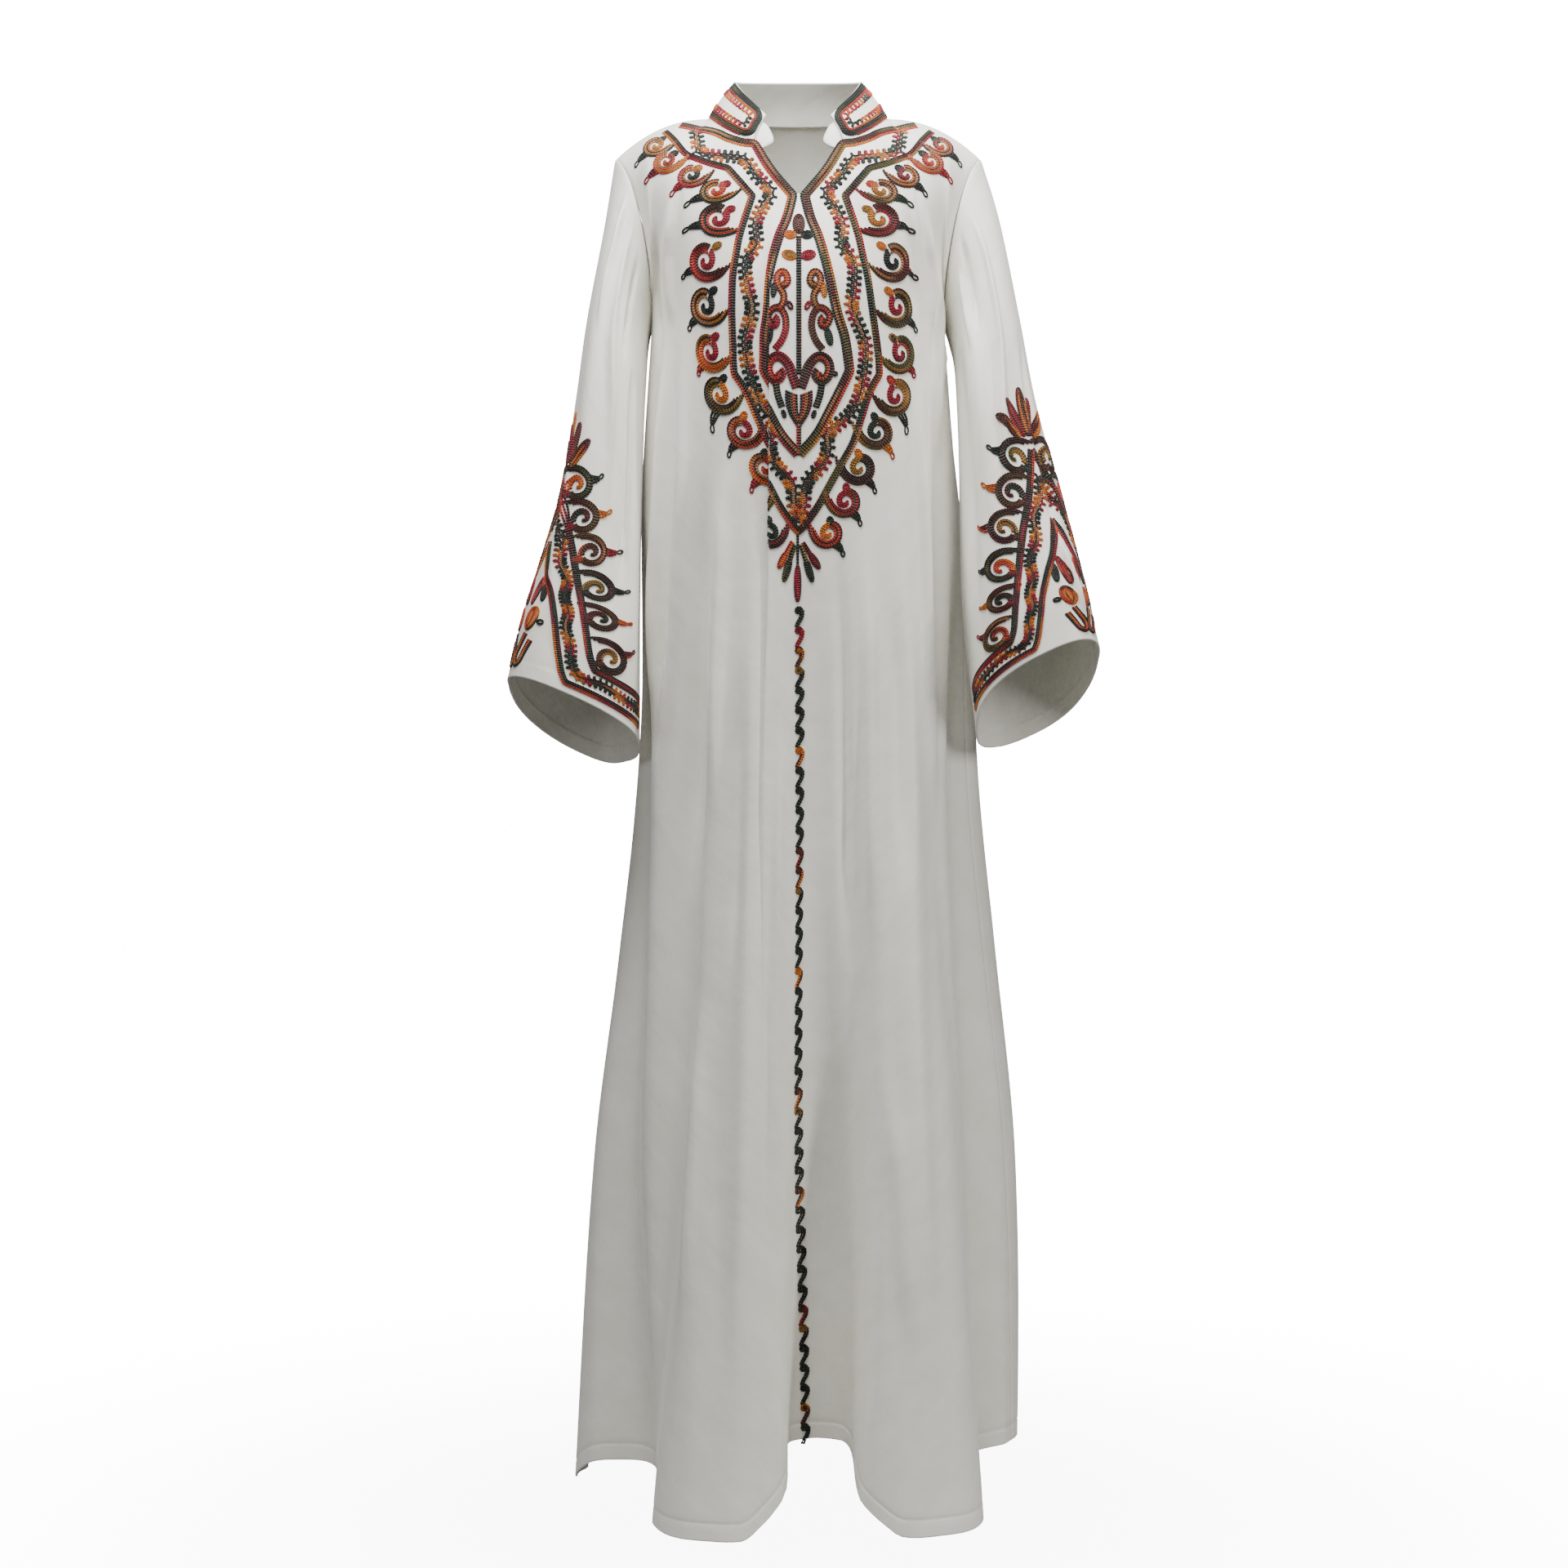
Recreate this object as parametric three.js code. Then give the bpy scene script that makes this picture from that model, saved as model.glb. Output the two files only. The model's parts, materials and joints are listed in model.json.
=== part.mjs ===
// A long, loose abaya worn open at the neck, with a stand collar and wide bell sleeves.
// Millimetres, +Z up. The front faces -Y and +X is the wearer's left.
// The origin is where the wearer's shoulders hold it: midway between the two neck points.
import * as THREE from "three";

// Driving sizes
const garmentLength = 1426; // neck point to hem
const underarmLevel = 225; // below the neck point
const clothWall = 1.5;
const collarWall = 2.4;
const facingWall = 1.2;
const seamGap = 0.4;
const foldRoundness = 1.6; // how far a fold's flanks lean over, in mm for each mm of rise per degree
const fullFold = 40; // the depth at which they lean that far
const turnedHemWidth = 16;
const turnedHemExtra = 0.7; // how much thicker the folded hem is
const shoulderTip = { x: 192, y: 0, z: -43 };
const shoulderRoundness = 2.2; // over 1 keeps the shoulder high before it falls to its tip
const neckOval = { halfWidth: 93, front: 80, back: 70 };
const neckEndAngle = 60; // where the collar ends, from the side round to the front
const neckEndDrop = 40; // how far the neckline falls by there
const backNeckRise = 8;
const notchTop = { x: 37, y: -76, z: -57 };
const notchFoot = { x: 8, y: -97, z: -101 };
const collarTopOval = { halfWidth: 66, front: 63, back: 52 };
const collarHeight = 38;
const collarBackRise = 13;
const collarEndDrop = 48;
const collarBow = 2.5;
const facingTop = 0.8; // heights on the collar's face, 0 at its seam and 1 at its top
const facingFoot = -0.22;
const facingTuck = 0.07; // shares of half the collar's length, behind its end and past it
const facingBulge = 0.085;
const facingGap = 0.7;

// Grid of each panel. A column share of 1 is the side seam or armhole, 0 the centre.
const halfColumnsFront = 20;
const halfColumnsBack = 16;
const yokeRows = 10;
const skirtRows = 18;
const sleeveRows = 14;
const notchFootShare = 2 / 20;
const notchTopShare = 6 / 20;
const collarEndShare = 8 / 20;
const neckPointShare = 13 / 20;
const backNeckPointShare = 9 / 16;

// Body sections below the underarm, each a rounded oval at its level
const bodySections = [
  { level: 225, halfWidth: 154, front: 134, back: 112 },
  { level: 420, halfWidth: 165, front: 138, back: 118 },
  { level: 690, halfWidth: 164, front: 142, back: 130 },
  { level: 880, halfWidth: 179, front: 148, back: 144 },
  { level: 1085, halfWidth: 201, front: 155, back: 160 },
  { level: 1426, halfWidth: 219, front: 164, back: 180 },
];

// Long folds. Angles run from the centre front, + to the wearer's left; depth is + outwards.
// Flat is the share of a fold's width that is level across its top or bottom; midAt is where
// between its start and the hem a fold has its middle depth, when that isn't halfway.
const folds = [
  { name: "right cone", start: 330, top: -22, hem: -19, spread: 25, flat: 0.12, mid: 20, end: 80 },
  { name: "centre valley", start: 430, top: 20, hem: 5, spread: 15, flat: 0.25, mid: -15, end: -50 },
  { name: "left cone", start: 330, top: 40, hem: 30, spread: 26, flat: 0.12, mid: 20, end: 78 },
  { name: "right front edge", start: 240, top: -66, hem: -52, spread: 15, flat: 0, mid: 9, end: 2 },
  { name: "right recess", start: 280, top: -84, hem: -55, spread: 18, flat: 0.1, mid: -13, end: -40 },
  { name: "right side", start: 500, top: -98, hem: -88, spread: 24, flat: 0.15, mid: 11, end: 15 },
  { name: "left front edge", start: 240, top: 66, hem: 60, spread: 13, flat: 0, mid: 6, end: -4 },
  { name: "left recess", start: 280, top: 82, hem: 67, spread: 18, flat: 0.2, mid: -12, end: -46 },
  { name: "left side", start: 240, top: 108, hem: 105, spread: 26, flat: 0.1, mid: 12, end: 38 },
  { name: "left hip", start: 240, top: 106, hem: 104, spread: 28, flat: 0.1, mid: 22, end: -20, midAt: 0.3 },
  { name: "left back recess", start: 480, top: 137, hem: 132, spread: 15, flat: 0.1, mid: -8, end: -28 },
  { name: "left back cone", start: 380, top: 152, hem: 154, spread: 20, flat: 0.1, mid: 14, end: 50 },
  { name: "back valley", start: 360, top: 178, hem: 177, spread: 17, flat: 0.2, mid: -12, end: -34 },
  { name: "back cone", start: 330, top: 196, hem: 203, spread: 23, flat: 0.12, mid: 16, end: 58 },
  { name: "right back valley", start: 460, top: 220, hem: 229, spread: 14, flat: 0.1, mid: -10, end: -32 },
  { name: "right back cone", start: 420, top: 240, hem: 246, spread: 15, flat: 0.1, mid: 12, end: 30 },
];

// Where the hem lifts between the folds
const hemLifts = [
  { angle: 5, spread: 18, flat: 0.3, rise: 70 },
  { angle: -62, spread: 30, flat: 0.2, rise: 32 },
  { angle: 98, spread: 46, flat: 0.3, rise: 38 },
  { angle: 178, spread: 22, flat: 0.1, rise: 16 },
  { angle: 229, spread: 18, flat: 0.1, rise: 14 },
];

// Sleeve sections from the armhole to the cuff: outer and inner edge seen from the front,
// the middle's depth, the half depth, how far the front stands up and how far the back hangs down
const rightSleeveSections = [
  { outerX: 194, outerZ: -46, innerX: 158, innerZ: -224, midY: 0, halfDepth: 46, rise: 0, drop: 0 },
  { outerX: 203, outerZ: -112, innerX: 158, innerZ: -240, midY: -6, halfDepth: 53, rise: 0, drop: 0 },
  { outerX: 220, outerZ: -218, innerX: 158, innerZ: -268, midY: -20, halfDepth: 57, rise: 0, drop: 0 },
  { outerX: 231, outerZ: -306, innerX: 160, innerZ: -322, midY: -32, halfDepth: 58, rise: 0, drop: 0 },
  { outerX: 245, outerZ: -400, innerX: 162, innerZ: -416, midY: -44, halfDepth: 60, rise: 2, drop: 4 },
  { outerX: 268, outerZ: -482, innerX: 163, innerZ: -508, midY: -52, halfDepth: 65, rise: 6, drop: 12 },
  { outerX: 283, outerZ: -532, innerX: 163, innerZ: -572, midY: -58, halfDepth: 70, rise: 11, drop: 24 },
  { outerX: 298, outerZ: -597, innerX: 163, innerZ: -656, midY: -63, halfDepth: 75, rise: 18, drop: 38 },
];
const leftSleeveSections = [
  { outerX: 194, outerZ: -46, innerX: 158, innerZ: -224, midY: 0, halfDepth: 46, rise: 0, drop: 0 },
  { outerX: 212, outerZ: -112, innerX: 160, innerZ: -240, midY: -8, halfDepth: 53, rise: 0, drop: 0 },
  { outerX: 230, outerZ: -218, innerX: 163, innerZ: -268, midY: -26, halfDepth: 57, rise: 0, drop: 0 },
  { outerX: 245, outerZ: -306, innerX: 165, innerZ: -322, midY: -40, halfDepth: 58, rise: 2, drop: 2 },
  { outerX: 268, outerZ: -398, innerX: 168, innerZ: -414, midY: -52, halfDepth: 61, rise: 7, drop: 9 },
  { outerX: 286, outerZ: -474, innerX: 171, innerZ: -500, midY: -64, halfDepth: 66, rise: 15, drop: 20 },
  { outerX: 296, outerZ: -520, innerX: 176, innerZ: -562, midY: -70, halfDepth: 70, rise: 24, drop: 32 },
  { outerX: 307, outerZ: -572, innerX: 182, innerZ: -632, midY: -74, halfDepth: 74, rise: 34, drop: 46 },
];
const sleeveSquareness = 0.82; // under 1 squares the oval sections a little

// Soft folds down a sleeve. Angle 0 is the outer edge, 90 the front, 180 the inner edge.
const rightSleeveFolds = [
  { angle: 62, spread: 30, depth: 5, from: 0.1, to: 0.7 },
  { angle: 112, spread: 26, depth: -7, from: 0.15, to: 1 },
  { angle: 150, spread: 24, depth: 6, from: 0.3, to: 1.1 },
  { angle: 222, spread: 26, depth: -8, from: 0.3, to: 1.2 },
  { angle: 262, spread: 30, depth: 7, from: 0.25, to: 1.2 },
  { angle: 310, spread: 28, depth: -6, from: 0.35, to: 1.1 },
];
const leftSleeveFolds = [
  { angle: 70, spread: 26, depth: -5, from: 0.2, to: 0.8 },
  { angle: 118, spread: 26, depth: 8, from: 0.05, to: 0.75 },
  { angle: 152, spread: 22, depth: -8, from: 0.1, to: 1 },
  { angle: 214, spread: 26, depth: 9, from: 0.3, to: 1.2 },
  { angle: 256, spread: 26, depth: -8, from: 0.3, to: 1.1 },
  { angle: 304, spread: 30, depth: 6, from: 0.3, to: 1.1 },
];

const radians = (degrees) => (degrees * Math.PI) / 180;
const clamp = (value, low, high) => Math.min(high, Math.max(low, value));
const mix = (a, b, share) => a + (b - a) * share;
const smooth = (value) => {
  const t = clamp(value, 0, 1);
  return t * t * (3 - 2 * t);
};
// A smooth hump from -1 to 1, level over the flat share of it
const bump = (q, flat = 0) => {
  const slopePart = clamp((Math.abs(q) - flat) / (1 - flat), 0, 1);
  return Math.cos((slopePart * Math.PI) / 2) ** 2;
};
const vector = (x, y, z) => new THREE.Vector3(x, y, z);
const turnBetween = (angle, centre) => ((angle - centre + 900) % 360) - 180;

// Smooth value of one column of a table at a position between its rows
function tableValue(rows, key, positions, at) {
  let i = 0;
  while (i < rows.length - 2 && at > positions[i + 1]) i++;
  const span = positions[i + 1] - positions[i];
  const t = (at - positions[i]) / span;
  const slope = (k) => {
    const a = Math.max(0, k - 1);
    const b = Math.min(rows.length - 1, k + 1);
    return (rows[b][key] - rows[a][key]) / (positions[b] - positions[a]);
  };
  const p = rows[i][key];
  const q = rows[i + 1][key];
  const t2 = t * t;
  const t3 = t2 * t;
  return (
    (2 * t3 - 3 * t2 + 1) * p +
    (t3 - 2 * t2 + t) * span * slope(i) +
    (3 * t2 - 2 * t3) * q +
    (t3 - t2) * span * slope(i + 1)
  );
}
const levels = bodySections.map((s) => s.level);
const bodySize = (key, level) => tableValue(bodySections, key, levels, level);

// Depth of a fold at a level: nothing at its start, then its middle and end depths
function foldDepth(fold, level) {
  const midAt = fold.midAt ?? 0.5;
  const t = clamp((level - fold.start) / (garmentLength - fold.start), 0, 1);
  const middle = (fold.mid * t * (1 - t)) / (midAt * (1 - midAt));
  const end = (fold.end * t * (t - midAt)) / (1 - midAt);
  return (middle + end) * smooth(t * 4);
}

// How far the folds push the cloth out at an angle and level
function foldsAt(angle, level) {
  let push = 0;
  for (const fold of folds) {
    const t = clamp((level - fold.start) / (garmentLength - fold.start), 0, 1);
    const centre = mix(fold.top, fold.hem, t);
    push += foldDepth(fold, level) * bump(turnBetween(angle, centre) / fold.spread, fold.flat);
  }
  return push;
}

function hemLevel(angle) {
  let level = garmentLength;
  for (const lift of hemLifts) level -= lift.rise * bump(turnBetween(angle, lift.angle) / lift.spread, lift.flat);
  return level;
}

// A point of the body below the underarm. Angle 0 is the centre front, 90 the wearer's left side.
function ringPoint(angle, level) {
  const a = radians(angle);
  const halfWidth = bodySize("halfWidth", level);
  const depth = Math.cos(a) > 0 ? bodySize("front", level) : bodySize("back", level);
  const point = vector(halfWidth * Math.sin(a), -depth * Math.cos(a), -level);
  const out = vector(Math.sin(a) / halfWidth, -Math.cos(a) / depth, 0).normalize();
  const along = vector(-out.y, out.x, 0);
  const push = foldsAt(angle, level);
  const slope = foldsAt(angle + 0.5, level) - foldsAt(angle - 0.5, level);
  const lean = foldRoundness * slope * clamp(push / fullFold, -1, 1);
  return point.addScaledVector(out, push).addScaledVector(along, -lean);
}

// Angles that split one row of a panel into equal lengths of cloth
function evenAngles(fromAngle, toAngle, count, levelAt) {
  const samples = 360;
  const angles = [];
  const lengths = [0];
  let last = null;
  for (let i = 0; i <= samples; i++) {
    const angle = mix(fromAngle, toAngle, i / samples);
    const point = ringPoint(angle, levelAt(angle));
    if (last) lengths.push(lengths[i - 1] + point.distanceTo(last));
    angles.push(angle);
    last = point;
  }
  const result = [];
  let i = 0;
  for (let c = 0; c <= count; c++) {
    const target = (lengths[samples] * c) / count;
    while (i < samples - 1 && lengths[i + 1] < target) i++;
    const t = (target - lengths[i]) / (lengths[i + 1] - lengths[i]);
    result.push(mix(angles[i], angles[i + 1], t));
  }
  return result;
}

// Outward normal of the lower body from small steps round and down
function ringNormal(angle, level) {
  const round = ringPoint(angle + 0.5, level).sub(ringPoint(angle - 0.5, level));
  const down = ringPoint(angle, level + 4).sub(ringPoint(angle, level - 4));
  return down.cross(round).normalize();
}

// The neckline from the side (angle 0) to the front (+) or back (-), with the collar's seam on it
function necklinePoint(angle, side) {
  const a = radians(angle);
  const front = angle > 0;
  const y = front ? -neckOval.front * Math.sin(a) : -neckOval.back * Math.sin(a);
  const z = front
    ? -neckEndDrop * (Math.sin(a) / Math.sin(radians(neckEndAngle))) ** 1.5
    : backNeckRise * Math.sin(-a);
  return vector(side * neckOval.halfWidth * Math.cos(a), y, z);
}

// The shoulder seam from the neck point (0) to its tip (1), and the cloth's normal along it
const shoulderPoint = (side, t) =>
  vector(side * mix(neckOval.halfWidth, shoulderTip.x, t), shoulderTip.y, shoulderTip.z * t ** shoulderRoundness);
function shoulderNormal(side, t) {
  const fall = (-shoulderTip.z * shoulderRoundness * t ** (shoulderRoundness - 1)) / (shoulderTip.x - neckOval.halfWidth);
  return vector(side * mix(0.3, fall, smooth(t * 2)), 0, 1).normalize();
}

// Top edge of the front at a column share: shoulder seam, neckline, then the notch
function frontTop(share) {
  const side = share < 0 ? -1 : 1;
  const s = Math.abs(share);
  if (s >= neckPointShare) {
    const t = (s - neckPointShare) / (1 - neckPointShare);
    return shoulderPoint(side, t);
  }
  if (s >= collarEndShare) {
    const t = (neckPointShare - s) / (neckPointShare - collarEndShare);
    return necklinePoint(neckEndAngle * t, side);
  }
  const end = necklinePoint(neckEndAngle, side);
  const top = vector(side * notchTop.x, notchTop.y, notchTop.z);
  const foot = vector(side * notchFoot.x, notchFoot.y, notchFoot.z);
  if (s >= notchTopShare) return top.lerp(end, (s - notchTopShare) / (collarEndShare - notchTopShare));
  if (s >= notchFootShare) return foot.lerp(top, (s - notchFootShare) / (notchTopShare - notchFootShare));
  return vector(notchFoot.x * (share / notchFootShare), notchFoot.y, notchFoot.z);
}

// Top edge of the back at a column share: shoulder seam, then the back neckline
function backTop(share) {
  const side = share < 0 ? -1 : 1;
  const s = Math.abs(share);
  if (s >= backNeckPointShare) {
    const t = (s - backNeckPointShare) / (1 - backNeckPointShare);
    return shoulderPoint(side, t);
  }
  return necklinePoint(-90 * (1 - s / backNeckPointShare), side);
}

// The upper part of a panel: each column is one smooth curve from the underarm row to the top edge
function yokeSurface(panel) {
  const angles = evenAngles(panel.fromAngle, panel.toAngle, 200, () => underarmLevel);
  const footAngle = (share) => {
    const at = clamp((share + 1) / 2, 0, 1) * 200;
    const i = Math.min(199, Math.floor(at));
    return mix(angles[i], angles[i + 1], at - i);
  };
  const shares = panel.topDirections.map((d) => d.share);
  const topValue = (key, s) => tableValue(panel.topDirections, key, shares, s);
  return (share, rise) => {
    const side = share < 0 ? -1 : 1;
    const s = Math.min(1, Math.abs(share));
    const foot = ringPoint(footAngle(share), underarmLevel);
    const top = panel.top(share);
    const reach = foot.distanceTo(top);
    const lean = topValue("lean", s);
    const up = vector(-side * 0.15 * lean, panel.facing * lean, 1).normalize();
    const low = foot.clone().addScaledVector(up, reach * 0.37);
    const down = vector(side * topValue("out", s), panel.facing * topValue("forward", s), -topValue("fall", s));
    const high = top.clone().addScaledVector(down.normalize(), reach * topValue("hold", s));
    const keep = 1 - rise;
    return foot
      .multiplyScalar(keep ** 3)
      .addScaledVector(low, 3 * keep ** 2 * rise)
      .addScaledVector(high, 3 * keep * rise ** 2)
      .addScaledVector(top, rise ** 3);
  };
}

// Which way the cloth leaves the top edge at each column share, and how long it holds that way
const frontPanel = {
  halfColumns: halfColumnsFront,
  fromAngle: -90,
  toAngle: 90,
  top: frontTop,
  neckShare: neckPointShare,
  facing: -1,
  topDirections: [
    { share: 0, out: 0, forward: 0.42, fall: 0.92, hold: 0.34, lean: 0 },
    { share: 0.3, out: 0.04, forward: 0.46, fall: 0.9, hold: 0.36, lean: 0 },
    { share: 0.48, out: 0.15, forward: 0.64, fall: 0.76, hold: 0.44, lean: 0 },
    { share: 0.65, out: 0.2, forward: 0.84, fall: 0.48, hold: 0.58, lean: 0.02 },
    { share: 0.85, out: 0.04, forward: 0.92, fall: 0.4, hold: 0.56, lean: 0.12 },
    { share: 1, out: -0.36, forward: 0.9, fall: 0.36, hold: 0.42, lean: 1.7 },
  ],
};
const backPanel = {
  halfColumns: halfColumnsBack,
  fromAngle: 270,
  toAngle: 90,
  top: backTop,
  neckShare: backNeckPointShare,
  facing: 1,
  topDirections: [
    { share: 0, out: 0, forward: 0.5, fall: 0.86, hold: 0.34, lean: 0 },
    { share: 0.3, out: 0.06, forward: 0.6, fall: 0.8, hold: 0.38, lean: 0 },
    { share: 0.56, out: 0.2, forward: 0.84, fall: 0.48, hold: 0.54, lean: 0.02 },
    { share: 0.8, out: 0.06, forward: 0.92, fall: 0.4, hold: 0.54, lean: 0.1 },
    { share: 1, out: -0.36, forward: 0.9, fall: 0.36, hold: 0.42, lean: 1.7 },
  ],
};

// Turns rows of outer points and normals into a closed wall; each row runs the same way round
function wallGeometry(rows, closedRound, thickness) {
  const rowCount = rows.length;
  const columnCount = rows[0].length;
  const positions = [];
  for (const inner of [false, true])
    rows.forEach((row, r) =>
      row.forEach(({ point, normal }) => {
        const p = inner ? point.clone().addScaledVector(normal, -thickness(r)) : point;
        positions.push(p.x, p.y, p.z);
      }),
    );
  const outer = (r, c) => r * columnCount + (c % columnCount);
  const inner = (r, c) => rowCount * columnCount + outer(r, c);
  const faces = [];
  const middle = rows[rowCount >> 1][columnCount >> 1];
  const round = rows[rowCount >> 1][(columnCount >> 1) + 1].point.clone().sub(middle.point);
  const down = rows[(rowCount >> 1) + 1][columnCount >> 1].point.clone().sub(middle.point);
  const facesOut = round.cross(down).dot(middle.normal) > 0;
  const quad = (a, b, c, d) => {
    if (facesOut) faces.push(a, b, c, a, c, d);
    else faces.push(a, c, b, a, d, c);
  };
  const spans = closedRound ? columnCount : columnCount - 1;
  for (let r = 0; r < rowCount - 1; r++)
    for (let c = 0; c < spans; c++) {
      quad(outer(r, c), outer(r, c + 1), outer(r + 1, c + 1), outer(r + 1, c));
      quad(inner(r, c), inner(r + 1, c), inner(r + 1, c + 1), inner(r, c + 1));
    }
  for (let c = 0; c < spans; c++) {
    quad(outer(0, c), inner(0, c), inner(0, c + 1), outer(0, c + 1));
    quad(outer(rowCount - 1, c), outer(rowCount - 1, c + 1), inner(rowCount - 1, c + 1), inner(rowCount - 1, c));
  }
  if (!closedRound)
    for (let r = 0; r < rowCount - 1; r++) {
      quad(outer(r, 0), outer(r + 1, 0), inner(r + 1, 0), inner(r, 0));
      const last = columnCount - 1;
      quad(outer(r, last), inner(r, last), inner(r + 1, last), outer(r + 1, last));
    }
  const geometry = new THREE.BufferGeometry();
  geometry.setAttribute("position", new THREE.Float32BufferAttribute(positions, 3));
  geometry.setIndex(faces);
  geometry.computeVertexNormals();
  return geometry;
}

// Normal of a two-way surface from small steps, facing outwards
function surfaceNormal(surface, a, b, outward) {
  const step = 0.004;
  const along = surface(Math.min(1, a + step), b).sub(surface(Math.max(-1, a - step), b));
  const up = surface(a, Math.min(1, b + step)).sub(surface(a, Math.max(0, b - step)));
  const normal = along.cross(up).normalize();
  return normal.dot(outward) < 0 ? normal.negate() : normal;
}

// Outward normal of the upper panel; the two panels share theirs along the shoulder seam
function panelNormal(panel, surface, share, rise) {
  const onShoulder = (Math.abs(share) - panel.neckShare) / (1 - panel.neckShare);
  if (rise === 1 && onShoulder >= -1e-9) return shoulderNormal(Math.sign(share), Math.max(0, onShoulder));
  return surfaceNormal(surface, share, rise, vector(0, panel.facing, 0.5));
}

function sleeveNormal(side, turn, along) {
  const surface = sleeves[side];
  const step = 0.004;
  const round = surface(turn + step, along).sub(surface(turn - step, along));
  const down = surface(turn, Math.min(1, along + step)).sub(surface(turn, Math.max(0, along - step)));
  return round.cross(down).normalize().multiplyScalar(side);
}

// Panel and sleeve share a normal along the armhole, apart from the turn under the arm
function armholeNormal(panel, side, rise) {
  const own = panelNormal(panel, yokes.get(panel), side, rise);
  const turn = panel.facing < 0 ? (1 - rise) / 2 : (1 + rise) / 2;
  const shared = own.clone().add(sleeveNormal(side, turn, 0)).normalize();
  return own.lerp(shared, smooth((rise - 0.15) / 0.3)).normalize();
}

// Front or back panel: rows run from the top edge down to the hem
function panelRows(panel) {
  const surface = yokes.get(panel);
  const columns = panel.halfColumns * 2;
  const rows = [];
  for (let r = yokeRows; r > 0; r--) {
    const rise = r / yokeRows;
    const row = [];
    for (let c = 0; c <= columns; c++) {
      const share = (2 * c) / columns - 1;
      const point = surface(share, rise);
      let normal = panelNormal(panel, surface, share, rise);
      if (Math.abs(share) === 1) normal = armholeNormal(panel, Math.sign(share), rise);
      if (r === yokeRows && Math.abs(share) >= panel.neckShare - 1e-9) point.y += (panel.facing * seamGap) / 2;
      row.push({ point, normal });
    }
    rows.push(row);
  }
  const seamAngle = (seamGap / 2 / bodySections[0].halfWidth) * (180 / Math.PI) * Math.sign(panel.toAngle - panel.fromAngle);
  const downShares = [];
  for (let r = 0; r < skirtRows; r++) downShares.push(r / skirtRows);
  downShares.push(1 - turnedHemWidth / (garmentLength - underarmLevel), 1);
  for (const share of downShares) {
    const levelAt = (angle) => mix(underarmLevel, hemLevel(angle), share);
    const angles = evenAngles(panel.fromAngle + seamAngle, panel.toAngle - seamAngle, columns, levelAt);
    rows.push(
      angles.map((angle) => ({
        point: ringPoint(angle, levelAt(angle)),
        normal: ringNormal(angle, levelAt(angle)),
      })),
    );
  }
  return rows;
}

// One edge of an armhole, from the underarm (0) up to the shoulder (1)
const yokes = new Map([frontPanel, backPanel].map((panel) => [panel, yokeSurface(panel)]));
function armholePoint(side, turn) {
  const share = turn <= 0.5 ? 1 - 2 * turn : 2 * turn - 1;
  const point = yokes.get(turn <= 0.5 ? frontPanel : backPanel)(side, share);
  return point.add(vector(side * seamGap, 0, 0));
}

// A sleeve: turn runs once round from the outer edge through the front, along from the armhole to the cuff
function sleeveSurface(side, sections, sleeveFolds) {
  const places = sections.map((_, i) => i / (sections.length - 1));
  const value = (key, along) => tableValue(sections, key, places, along);
  const oval = (turn, along) => {
    const a = turn * 2 * Math.PI;
    const outer = vector(side * value("outerX", along), 0, value("outerZ", along));
    const inner = vector(side * value("innerX", along), 0, value("innerZ", along));
    const middle = outer.clone().add(inner).multiplyScalar(0.5);
    const half = outer.sub(inner).multiplyScalar(0.5);
    const depth = value("halfDepth", along);
    const across = Math.sign(Math.cos(a)) * Math.abs(Math.cos(a)) ** sleeveSquareness;
    const forward = Math.sign(Math.sin(a)) * Math.abs(Math.sin(a)) ** sleeveSquareness;
    const lift = forward * value(forward > 0 ? "rise" : "drop", along);
    return middle.addScaledVector(half, across).add(vector(0, value("midY", along) - depth * forward, lift));
  };
  const centre = (along) => oval(0, along).add(oval(0.5, along)).multiplyScalar(0.5);
  return (turn, along) => {
    const round = ((turn % 1) + 1) % 1;
    const point = oval(round, along);
    const capShare = (1 - clamp(along / 0.32, 0, 1)) ** 2;
    point.addScaledVector(armholePoint(side, round).sub(oval(round, 0)), capShare);
    const out = oval(round, along).sub(centre(along)).normalize();
    for (const fold of sleeveFolds) {
      const away = turnBetween(round * 360, fold.angle);
      const place = (along - fold.from) / (fold.to - fold.from);
      const fade = along >= 1 && fold.to > 1 ? bump(2 * place - 1) : bump(2 * clamp(place, 0, 1) - 1);
      point.addScaledVector(out, fold.depth * bump(away / fold.spread) * fade);
    }
    return point;
  };
}

const sleeves = {
  [-1]: sleeveSurface(-1, rightSleeveSections, rightSleeveFolds),
  1: sleeveSurface(1, leftSleeveSections, leftSleeveFolds),
};

function sleeveRowsOf(side) {
  const surface = sleeves[side];
  const columns = yokeRows * 2;
  const cuffLength = 600;
  const shares = [];
  for (let r = 0; r < sleeveRows; r++) shares.push(r / sleeveRows);
  shares.push(1 - turnedHemWidth / cuffLength, 1);
  return shares.map((along) => {
    const row = [];
    for (let c = 0; c < columns; c++) {
      const turn = side > 0 ? 1 - c / columns : c / columns;
      const point = surface(turn, along);
      const panel = turn <= 0.5 ? frontPanel : backPanel;
      const rise = Math.abs(1 - 2 * (turn % 1));
      const own = sleeveNormal(side, turn, along);
      const normal = along === 0 && rise > 0.15 ? armholeNormal(panel, side, rise) : own;
      row.push({ point, normal });
    }
    return row;
  });
}

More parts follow.
